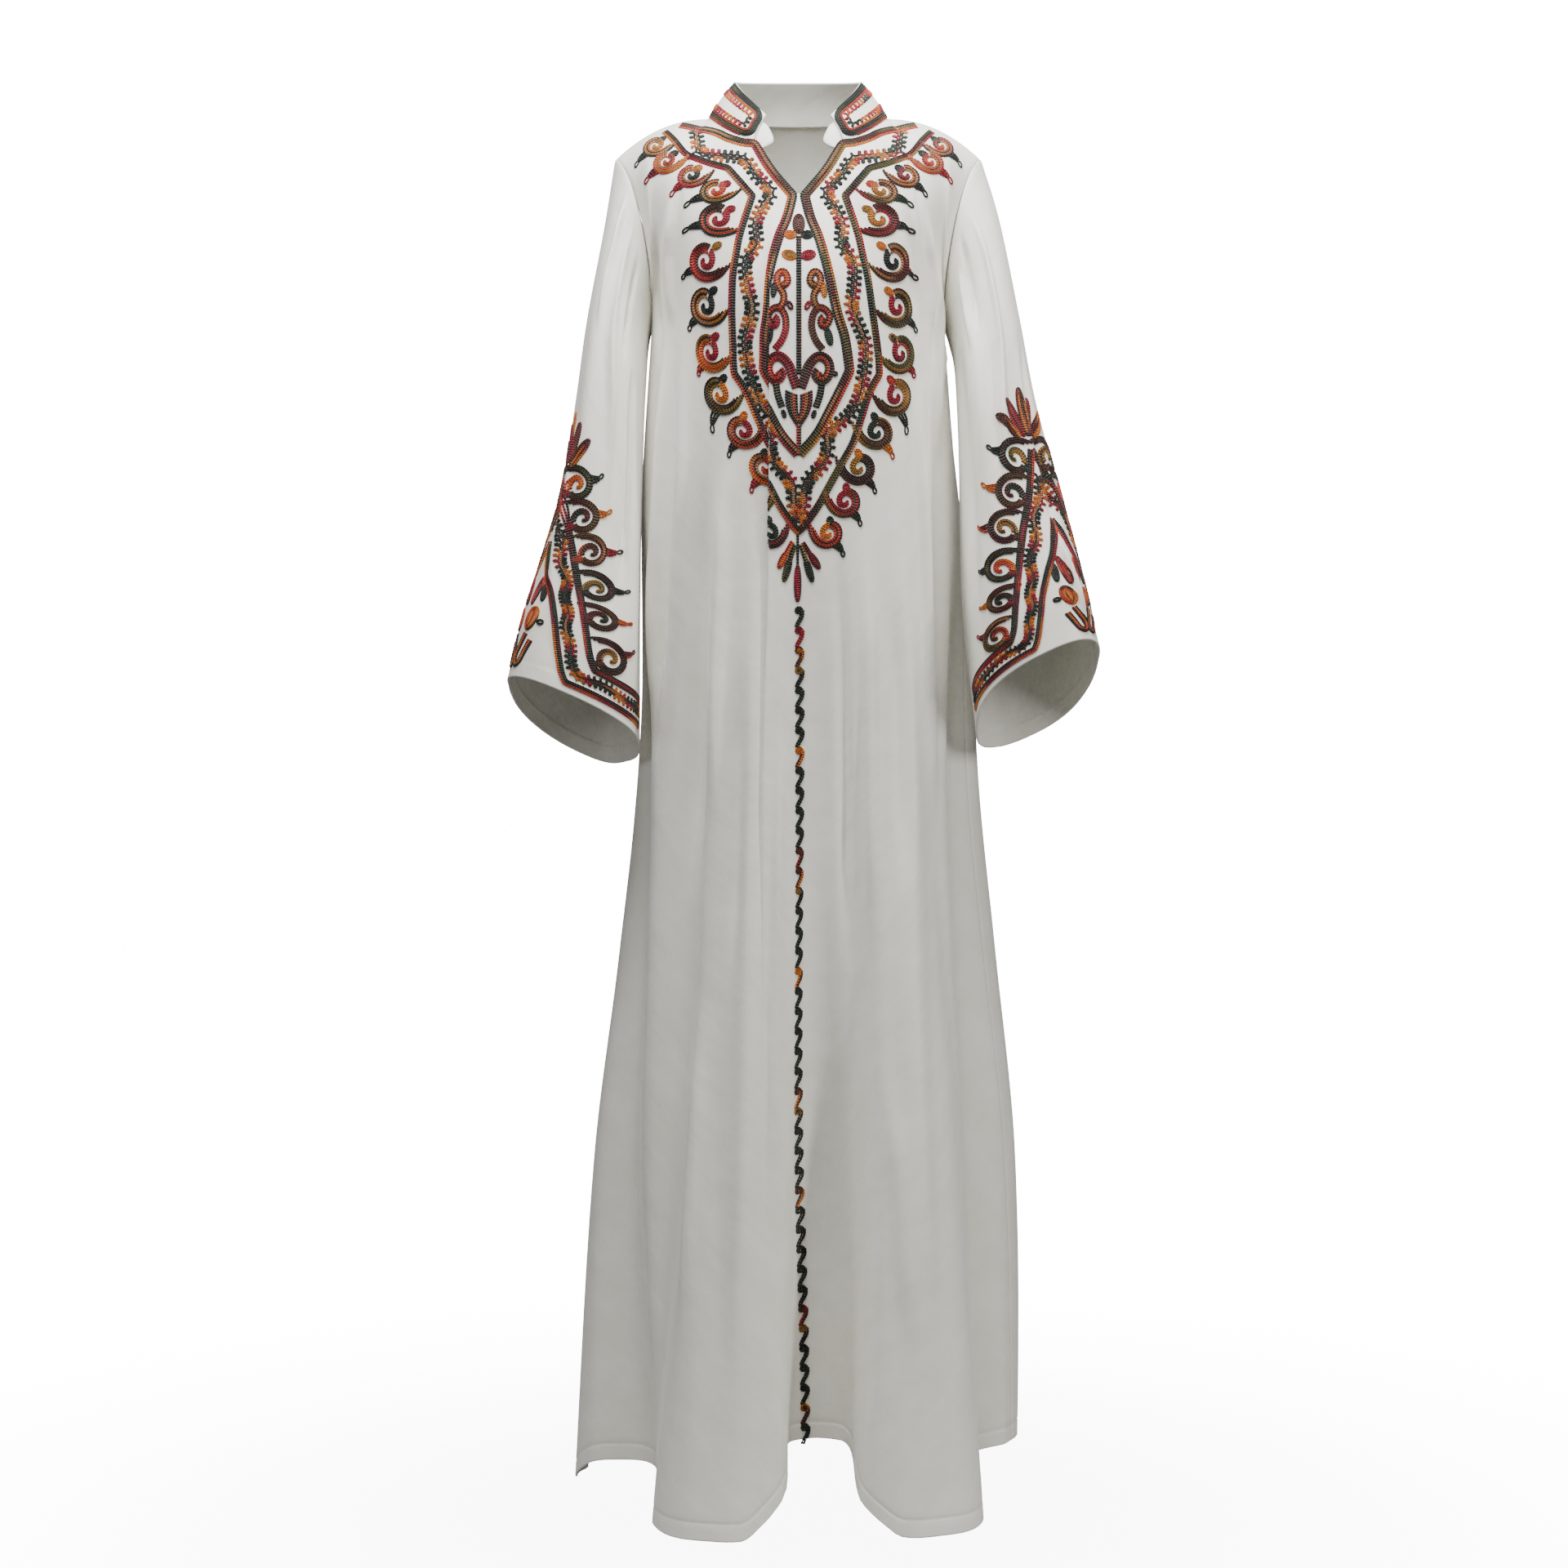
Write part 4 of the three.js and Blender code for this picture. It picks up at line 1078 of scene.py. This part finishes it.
# Each chain link is two grains of thread side by side, drawn in at its ends
link = {
    "thickness": 0.27,  # of the row's width
    "foot": (-0.14, 0.07, 0.3),  # place along the link, reach to its side, and height
    "rings": ((0.22, 0.24, 0.75), (0.84, 0.25, 0.75)),
    "head": (1.26, 0.12, 0.9),
}


def stitchLinks(points, normals, width):
    start, end = points[:-1], points[1:]
    ahead = unit(end - start)
    length = np.linalg.norm(end - start, axis=-1)[:, None]
    up = unit(normals[:-1] + normals[1:])
    aside = unit(np.cross(up, ahead))
    thick = width * link["thickness"]
    corners = []
    for side in (-1, 1):
        def at(share, reach, lift):
            return start + ahead * length * share + aside * side * reach * width + up * lift * thick
        rings = []
        for ring in link["rings"]:
            middle = at(*ring)
            rings += [middle + up * thick, middle + aside * thick * 0.95 - up * thick * 0.6,
                      middle - aside * thick * 0.95 - up * thick * 0.6]
        corners.append(np.stack([at(*link["foot"]), *rings, at(*link["head"])], axis=1))
    return np.concatenate(corners, axis=1)


legFaces = [(0, 1, 2), (0, 2, 3), (0, 3, 1), (7, 5, 4), (7, 6, 5), (7, 4, 6)]
legFaces += [(1, 4, 5), (1, 5, 2), (2, 5, 6), (2, 6, 3), (3, 6, 4), (3, 4, 1)]
linkFaces = np.array(legFaces + [tuple(corner + 8 for corner in face) for face in legFaces])


def threadMaterial():
    material, field, shader = newMaterial("chainThread")
    tone = field.node("ShaderNodeAttribute", attribute_name="thread")
    place = field.node("ShaderNodeTexCoord", output=3)
    wool = field.node("ShaderNodeTexNoise", {"Vector": place, "Scale": 700.0, "Detail": 2.0})
    darker = field.node("ShaderNodeMix", {0: 1.0, 6: tone, 7: (0.55, 0.55, 0.55, 1.0)}, 2,
                        data_type="RGBA", blend_type="MULTIPLY")
    field.plug(shader.inputs["Base Color"], wool.ramp(0.3, 0.62).blend(darker, tone))
    for socket, value in {"Roughness": 0.5, "Specular IOR Level": 0.35, "Sheen Weight": 0.12}.items():
        shader.inputs[socket].default_value = value
    return material


threadFinish = threadMaterial()


def stitch(name, patterns, clothMap, lift=0.1):
    corners, colours = [], []
    for pattern in patterns:
        for path, tones, width, pitch in pattern.rows:
            nodes = spaced(path, pitch)
            points, normals = clothMap.place(nodes)
            links = stitchLinks(points + normals * lift, normals, width)
            corners.append(links)
            colours.append(np.repeat(dyed(len(links), tones), 16, axis=0))
    corners, colours = np.concatenate(corners), np.concatenate(colours)
    faces = (linkFaces[None] + np.arange(len(corners))[:, None, None] * 16).reshape(-1, 3)
    piece = makeMesh(name, corners, faces, threadFinish)
    layer = piece.data.color_attributes.new("thread", "FLOAT_COLOR", "POINT")
    layer.data.foreach_set("color", np.concatenate([colours, np.ones((len(colours), 1))], axis=1).ravel())
    print(name, len(corners), "links", len(faces), "triangles")


# The neck pattern of one side, drawn for the wearer's left and mirrored for the right
innerOutline = curve([(123, -12), (87, -26), (73, -35), (57, -42), (45, -44), (28, -74), (6, -103),
                      (12, -128), (20, -149), (29, -183), (38, -225), (46, -252), (51, -285),
                      (44, -300), (31, -326), (18, -350), (1, -370)], (4, 6, 12))
outerOutline = curve([(139, -20), (128, -35), (115, -53), (94, -64), (72, -72), (58, -90),
                      (47, -103), (59, -142), (64, -165), (69, -188), (74, -223), (80, -267),
                      (81, -287), (71, -306), (62, -334), (54, -358), (42, -380), (30, -402),
                      (19, -422), (4, -443), (-1, -447)], (4, 6, 12))
vineStem = curve([(107, -17), (104, -36), (100, -52), (81, -57), (69, -59), (56, -62), (48, -72),
                  (43, -81), (37, -87), (29, -96), (29, -104), (35, -113), (40, -123), (44, -135),
                  (43, -157), (55, -174), (55, -203), (53, -222), (62, -244), (67, -259),
                  (66, -283), (63, -297), (62, -306), (54, -325), (42, -337), (29, -349),
                  (29, -366), (23, -381), (12, -392), (6, -403), (5, -419), (0, -438)])

# Centre, beak tip, width, height, tilt, bud and root of each scroll, from the shoulder down, then the
# tones of its outer rows, middle rows, curl, bud and beak on each side
scrolls = table(
    "at tip wide squash tilt bud root left right",
    ((147, -40), (169, -60), 0.72, 0.66, -16, (-6, 9), 186,
     ("brown black tan", "tan coral", "coral brown", "black green", "black green"),
     ("black green", "tan orange", "orange mustard", "green", "green black")),
    ((135, -61), (158, -82), 0.76, 0.66, -24, (-8, 10), 186,
     ("coral crimson tan", "tan mustard", "crimson coral", "green", "crimson"),
     ("orange coral tan", "tan mustard", "coral brown", "black", "maroon crimson")),
    ((109, -79), (131, -100), 0.78, 0.66, -20, (-7, 9), 186,
     ("brown black", "tan orange", "crimson maroon", "black", "black green"),
     ("crimson maroon brown", "tan coral", "green black", "orange", "crimson")),
    ((84, -97), (117, -113), 0.9, 0.68, -12, (-12, 8), 192,
     ("brown crimson olive", "tan brown", "mustard orange", "coral", "green"),
     ("black green", "orange mustard", "coral", "crimson", "black")),
    ((82, -128), (119, -139), 1.04, 0.92, 0, (-15, 12), 204,
     ("maroon brown", "brown crimson maroon", "orange mustard", "mustard orange", "black"),
     ("green black", "brown coral", "crimson", "crimson", "green black")),
    ((96, -171), (122, -186), 0.86, 1.06, 0, (-15, 18), 186,
     ("brown maroon olive", "maroon tan", "green black", "orange", "crimson black"),
     ("crimson maroon", "coral brown", "crimson", "mustard", "black")),
    ((100, -217), (120, -240), 0.8, 1.06, -3, (-11, 18), 186,
     ("olive green maroon", "mustard brown", "crimson", "orange", "black green"),
     ("black green brown", "orange tan", "green black", "black", "green black")),
    ((103, -264), (117, -287), 0.74, 1.04, -4, (-9, 18), 186,
     ("olive brown", "mustard olive coral", "crimson maroon", "tan black", "crimson"),
     ("orange mustard", "coral brown", "crimson", "crimson", "coral crimson")),
    ((98, -308), (109, -346), 0.8, 1.04, -14, (-6, 19), 186,
     ("olive mustard brown", "brown tan", "crimson", "crimson coral", "black"),
     ("green black olive", "mustard brown", "orange", "black", "black green")),
    ((78, -346), (95, -372), 0.86, 0.9, -30, (-2, 18), 186,
     ("mustard olive", "maroon brown", "black green", "black green", "orange crimson"),
     ("coral maroon", "tan brown", "crimson", "orange", "black")),
    ((60, -383), (77, -408), 0.84, 0.88, -34, (0, 17), 186,
     ("maroon brown", "green black", "mustard", "orange", "black green"),
     ("orange brown", "coral tan", "crimson coral", "green", "crimson")),
    ((46, -417), (62, -441), 0.8, 0.82, -38, (2, 16), 186,
     ("olive brown", "crimson coral", "crimson", "crimson", "green black"),
     ("black olive", "mustard", "green", "crimson", "orange coral")),
    ((29, -449), (45, -472), 0.74, 0.78, -42, (3, 14), 186,
     ("maroon brown", "coral", "orange", "black green", "green"),
     ("crimson maroon", "green", "green black", "black", "orange")),
)
bandTones = {
    "left": [["green black", "tan olive maroon", "maroon brown olive", "coral orange mustard brown"],
             ["green black olive maroon", "olive green brown", "coral crimson tan olive maroon"],
             "tan olive brown", "green black crimson orange", "black green orange crimson"],
    "right": [["green maroon black", "tan brown", "brown green maroon", "coral orange crimson"],
              ["black green", "brown maroon", "coral orange crimson tan"],
              "tan brown green", "green black orange", "crimson black green orange"],
}


def neckHalf(name, side):
    pattern = Pattern(0, 1 if side == "left" else -1)
    inner, outer, stem, loopsOut, loopsIn = bandTones[side]
    pattern.band(innerOutline, inner, 2.5)
    pattern.band(outerOutline, outer, 2.5)
    pattern.vine(vineStem, stem, loopsOut, loopsIn)
    for form in scrolls:
        pattern.scroll(form["at"], form["tip"], form[side], form["wide"], form["squash"], form["tilt"],
                       form["bud"], form["root"])
    stitch(name, [pattern], frontMap)


# The panel inside the outline: leaves, hooks and a heart of scrolls either side of a stem, over a tulip
def innerMotif():
    plain = Pattern()
    plain.leaf((0, -135), 90, 23, 12.5, "maroon brown")
    plain.band(curve([(0, -148), (0, -290)]), ["black green", "black brown"], 2.6)
    plain.band(curve([(0, -341), (0, -371)]), ["crimson coral", "tan olive"], 2.3)
    halves = []
    for side, leafTones, bodyTones, linerTones, coreTones in (
            (1, ("green black", "crimson", "green", "green black"),
             "brown maroon", "coral brown", "mustard orange"),
            (-1, ("orange", "orange mustard", "black", "maroon"),
             "maroon crimson", "crimson coral", "orange")):
        half = Pattern(0, side)
        half.leaf((8.5, -147), 10, 13, 10, leafTones[0])
        half.leaf((9.5, -169), 18, 16, 11, leafTones[1])
        hook = curve([(18, -197), (15, -201), (11, -196), (14, -187), (19, -187), (22, -194), (19, -203),
                      (15, -210), (16, -219), (20, -224)][::-1])
        half.band(hook, [bodyTones, coreTones, bodyTones], 2.4)
        half.leaf((25, -205), 96, 17, 6.5, "orange mustard" if side == 1 else "green black")
        half.leaf((9, -221), 62, 11, 6, "crimson maroon", True)
        shell = curve([(24, -265), (17, -256), (13, -244), (14, -231), (20, -223), (27, -225), (31, -232),
                       (28, -240), (23, -241), (22, -235), (25, -232)])
        half.band(shell, [bodyTones, linerTones, bodyTones], 2.3)
        half.leaf((30, -252), 104, 19, 8, leafTones[2])
        heart = curve([(2, -304), (6, -293), (10, -281), (19, -272), (28, -275), (31, -284), (28, -293),
                       (22, -296), (17, -291), (20, -286)])
        half.band(heart, [bodyTones, linerTones, leafTones[3], bodyTones], 2.4)
        half.leaf((36, -289), 0, 7, 6, "green black", True)
        half.band(curve([(23, -299), (21, -311), (17, -323)]), ["black green", "green olive", "black"], 2.2)
        half.leaf((15, -330), 72, 10, 5, "black green", True)
        tulip = "maroon black", "black maroon", "mustard olive", "coral crimson", "green black"
        for inset, tones in enumerate(tulip):
            x = 12.4 - inset * 2.5
            petal = [(x, -306 - inset), (x, -317), (x * 0.74, -329), (x * 0.1, -342 + inset * 2.6)]
            half.add(curve(petal), tones)
        halves.append(half)
    stitch("innerMotifThread", [plain, *halves], frontMap)


# The fan of petals where the outlines meet
def finial():
    pattern, petalWidth = Pattern(), 7.4
    for foot, tip, tones in (
            ((-6, -457), (-21, -484), "crimson coral orange"), ((4, -458), (21, -484), "crimson maroon"),
            ((-4, -460), (-15, -497), "black green olive"), ((2, -460), (14, -497), "black mustard green")):
        pattern.leafAlong(foot, tip, petalWidth, tones, 0.7, 0.66)
        pattern.band(curve([foot, np.add(foot, tip) / 2]), [tones, tones], 2.2)
    pattern.add(curve([(-1, -450), (-1, -482)]), "black green")
    pattern.leaf((-1, -499), 90, 38, petalWidth, "crimson maroon")
    stitch("finialThread", [pattern], frontMap)


# The chain down the centre: filled coils, each with a tail that sweeps down to the next
chain = {
    "coils": 42,
    "top": (0, -526),
    "foot": (6, -1345),
    "radii": (4.4, 0.9),
    "tones": "green crimson orange mustard black green black black orange black green black green black",
    "partners": {"crimson": "brown", "orange": "brown", "black": "green"},
}


def centreChain():
    pattern = Pattern()
    tones = chain["tones"].split()
    for k in range(chain["coils"]):
        t = k / (chain["coils"] - 1)
        x, z = mix(chain["top"][0], chain["foot"][0], t), mix(chain["top"][1], chain["foot"][1], t)
        turn = np.radians(np.arange(-60, 640, 20))
        reach = np.linspace(*chain["radii"], len(turn))
        tone = tones[(k * 5 // 4) % len(tones)]
        pair = tone + " " + chain["partners"].get(tone, "black")
        pattern.add(np.stack([x + np.cos(turn) * reach, z + np.sin(turn) * reach], axis=-1), pair, 2.5, 2.4)
        tail = curve([(x + 4.4, z + 1), (x + 4.6, z - 4), (x + 2.8, z - 9), (x + 0.2, z - 13),
                      (x - 0.8, z - 16.5)])
        pattern.add(tail, pair)
        pattern.add(beside(tail, -2.3), pair, 2.4)
    stitch("centreChainThread", [pattern], frontMap)


# Collar rows run all round it as one loop with rounded fronts, with a looped row inside them
def collarPattern():
    halfLength, height = 226.0, 47.0
    edge, bottom, top, corner, sharpest = halfLength * 0.993, 2.4, 45.8, 13.0, 3
    pattern = Pattern()

    def loop(inset):
        x, low, high, bend = edge - inset, bottom + inset, top - inset, max(corner - inset, sharpest)
        path = []
        for centreX, centreZ, start in ((x - bend, high - bend, 90), (x - bend, low + bend, 0),
                                        (bend - x, low + bend, -90), (bend - x, high - bend, -180)):
            a = np.radians(np.linspace(start, start - 90, 9))
            path.append(np.stack([centreX + np.cos(a) * bend, centreZ + np.sin(a) * bend], axis=-1))
        path = np.concatenate(path)
        return np.concatenate([path, path[:1]])
    for inset, tones in ((0, "black green"), (2.5, "green black olive"), (5.0, "black green brown"),
                         (7.4, "coral orange crimson coral")):
        pattern.add(loop(inset), tones)
    stem = spaced(loop(12.2), row["loopStep"])
    pattern.loops(stem, 1, "crimson coral orange crimson green black orange", 0, 2.6, 6.4)
    ends = halfLength * 0.93
    pattern.add(curve([(-ends, 1.0), (ends, 1.0)]), "coral crimson")
    stitch("collarThread", [pattern], CollarMap(halfLength, height))


# A sleeve: two ropes and a vine run from the apex down and along the cuff, with scrolls outside them
sleeveScrolls = table(
    "at tip tones",
    ((21, 334), (46, 320), ("green black", "brown olive", "orange coral", "crimson", "green black")),
    ((35, 366), (63, 352), ("brown maroon", "brown olive", "green maroon", "crimson", "orange")),
    ((54, 399), (86, 388), ("brown olive", "tan brown", "coral brown", "coral", "black crimson")),
    ((72, 441), (106, 430),
     ("black green", "brown maroon", "mustard olive", "green", "green black")),
    ((87, 489), (121, 477),
     ("brown maroon", "green olive", "maroon green", "maroon", "orange coral")),
    ((110, 538), (136, 514),
     ("maroon brown", "green black", "brown mustard", "brown", "coral maroon")),
)


# Each sleeve's pattern is raised above a level, up to the full rise, and drawn in near the cuff's corners
settling = {
    "riseFrom": -489, "riseOver": 155, "inwardFrom": -400, "inwardOver": 140, "across": 108, "reach": 70,
}


def settle(path, middle, rise, inward):
    x, z = path[:, 0] - middle, path[:, 1]
    lift = rise * np.clip((z - settling["riseFrom"]) / settling["riseOver"], 0, 1)
    window = np.clip(1 - np.abs(np.abs(x) - settling["across"]) / settling["reach"], 0, 1)
    shift = inward * np.clip((settling["inwardFrom"] - z) / settling["inwardOver"], 0, 1) * window
    return np.stack([middle + x - np.sign(x) * shift, z + lift], axis=-1)


# Where the pattern's middle lies round the sleeve, how its tones are shifted, and how it is settled
sleevePrints = {
    "right": {"middle": 42, "shift": 0, "rise": -3, "inward": 0},
    "left": {"middle": 60, "shift": 3, "rise": 21, "inward": 12},
}


def sleevePattern(name, clothMap, middle, shift, rise, inward):
    patterns = []
    outer = curve([(0, -328), (9, -350), (21, -376), (37, -406), (55, -450), (73, -505), (87, -543),
                   (97, -560), (125, -561), (182, -561)], (7,))
    inner = curve([(0, -395), (12, -430), (26, -462), (40, -505), (52, -543), (64, -575),
                   (72, -588), (100, -588), (182, -588)], (6,))
    stem = curve([(0, -352), (8, -376), (21, -392), (27, -418), (40, -438), (44, -470), (54, -496),
                  (56, -520), (67, -542), (72, -562), (84, -575), (110, -572), (140, -575),
                  (182, -572)])
    for side in (1, -1):
        half = Pattern(middle, side)
        half.band(outer, ["crimson coral maroon brown", "maroon green crimson", "black green"])
        half.band(inner, ["orange coral crimson", "maroon green", "green black maroon"], 2.5)
        half.vine(stem, "brown tan green", "orange crimson black green", "green black orange crimson",
                  4.2, 2.4, 6.2)
        for k, form in enumerate(sleeveScrolls):
            tones = sleeveScrolls[(k + shift + (side < 0) * 2) % len(sleeveScrolls)]["tones"]
            flip = Pattern()
            grow = 0.9 if k < 3 else 1.08
            flip.scroll(form["at"], form["tip"], tones, grow, grow, 22, (-13, 14), 184, 3)
            half.rows += [((path * (1, -1)) * (side, 1) + (middle, 0), *rest) for path, *rest in flip.rows]
        half.leafAlong((3, -316), (15, -275), 11, "maroon crimson brown")
        half.leafAlong((8, -318), (28, -290), 10, "brown orange maroon")
        half.leaf((9, -468), 84, 56, 9.5, "crimson maroon coral")
        half.leaf((20, -470), 94, 36, 8.5, "green black")
        half.leaf((14, -518), 82, 38, 19, "orange coral brown")
        half.leaf((28, -523), 0, 10, 8, "green black", True)
        hook = curve([(12, -541), (7, -556), (2, -572), (5, -583), (12, -580), (17, -566), (22, -550)])
        half.band(hook, ["black green", "orange coral", "maroon brown"], 2.5)
        patterns.append(half)
    apex = Pattern(middle)
    apex.leaf((-2, -290), 92, 52, 10, "brown maroon orange")
    for part in (apex, *patterns):
        part.rows = [(settle(np.array(path), middle, rise, inward), *rest) for path, *rest in part.rows]
    stitch(name, [apex, *patterns], clothMap)


frontMap = ClothMap(front["flat"], front["points"], front["normals"])


def sleeveMap(sheet):
    order = np.argsort(sheet["flat"][0, :, 0])
    return ClothMap(sheet["flat"][:, order], sheet["points"][:, order], sheet["normals"][:, order])


neckHalf("neckThreadLeft", "left")
neckHalf("neckThreadRight", "right")
innerMotif()
finial()
centreChain()
collarPattern()
sleevePattern("sleeveThreadRight", sleeveMap(sleeves["right"]), **sleevePrints["right"])
sleevePattern("sleeveThreadLeft", sleeveMap(sleeves["left"]), **sleevePrints["left"])
print("embroidery ready")


# What shows of a cloth, measured: its widest and longest run, and the diagonals of its grid
def declareCut(sheet, closedRound=False):
    points = sheet["points"]
    if closedRound:
        points = np.concatenate([points, points[:, :1]], axis=1)
    wide, down = lengthsAcross(points)[:, -1].max() * metre, lengthsDown(points)[-1].max() * metre
    diagonals = points[1:, 1:] - points[:-1, :-1], points[1:, :-1] - points[:-1, 1:]


declareCut(front)
declareCut(back)
declareCut(sleeves["right"], True)
declareCut(sleeves["left"], True)
declareCut(collarSheet)
declareCut(facings["right"])
declareCut(facings["left"])


# Floor, lights and camera, in metres

studio = {
    "floorLevel": -1.472,
    "floorTone": (240, 240, 238),
    "floorShow": 0.42,
    "floorFade": (0.25, 1.3),
    "seenWhite": 16.0,
    "dimWhite": 0.08,
    "camera": (-0.0148, -2.720, -0.699),
    "sensor": 36,  # mm
    "focalPixels": 3170.7,
    "photoPixels": 1920,
}


def makeFloor():
    centre = (0, 0, studio["floorLevel"])
    bpy.ops.mesh.primitive_circle_add(vertices=96, radius=6, fill_type="NGON", location=(0, 0, 0))
    floor = bpy.context.object
    floor.name = "paleFloor"
    floor.data.transform(Matrix.Translation(centre))
    material, field, shader = newMaterial("paleFloor")
    place = field.node("ShaderNodeTexCoord", output=3)
    away = place.node("ShaderNodeVectorMath", {0: place, 1: centre}, 1, operation="DISTANCE")
    fade = (field.maths("SUBTRACT", 1.0, away.ramp(*studio["floorFade"]))) * studio["floorShow"]
    shader.inputs["Base Color"].default_value = linear(*studio["floorTone"])
    shader.inputs["Roughness"].default_value = 0.9
    field.plug(shader.inputs["Alpha"], fade)
    floor.data.materials.append(material)


def areaLight(name, place, aim, size, energy, colour=(1, 1, 1)):
    lamp = bpy.data.lights.new(name, "AREA")
    lamp.shape = "RECTANGLE"
    lamp.size, lamp.size_y = size
    lamp.energy = energy
    lamp.color = colour
    made = bpy.data.objects.new(name, lamp)
    made.location = place
    made.rotation_euler = (Vector(aim) - Vector(place)).to_track_quat("-Z", "Y").to_euler()
    bpy.context.scene.collection.objects.link(made)


makeFloor()
areaLight("topLight", (-0.3, -1.5, 2.1), (0, -0.1, -0.7), (1.2, 0.9), 52)
areaLight("shoulderLight", (0, -0.45, 0.85), (0, -0.05, -0.2), (1.2, 0.6), 36)
areaLight("leftLight", (-2.6, -1.5, 0.4), (0, 0, -0.6), (0.4, 1.4), 15)
areaLight("rightLight", (2.6, -1.5, 0.4), (0, 0, -0.6), (0.3, 1.6), 48, (1, 0.985, 0.95))
areaLight("backLight", (0.4, 2.8, 1.4), (0, 0, -0.6), (2.4, 1.6), 30)

world = bpy.data.worlds.new("studio")
bpy.context.scene.world = world
world.use_nodes = True
sky = Field(world.node_tree)
seen = sky.node("ShaderNodeLightPath")
backdrop = world.node_tree.nodes["Background"]
backdrop.inputs["Color"].default_value = (1, 1, 1, 1)
extra = studio["seenWhite"] - studio["dimWhite"]
sky.plug(backdrop.inputs["Strength"], seen.ramp(0.0, 1.0) * extra + studio["dimWhite"])

lens = bpy.data.cameras.new("photoCamera")
lens.sensor_width = studio["sensor"]
lens.lens = studio["sensor"] * studio["focalPixels"] / studio["photoPixels"]
lens.clip_end = 60
camera = bpy.data.objects.new("photoCamera", lens)
camera.location = studio["camera"]
camera.rotation_euler = (math.radians(90), 0, 0)
bpy.context.scene.collection.objects.link(camera)
bpy.context.scene.camera = camera
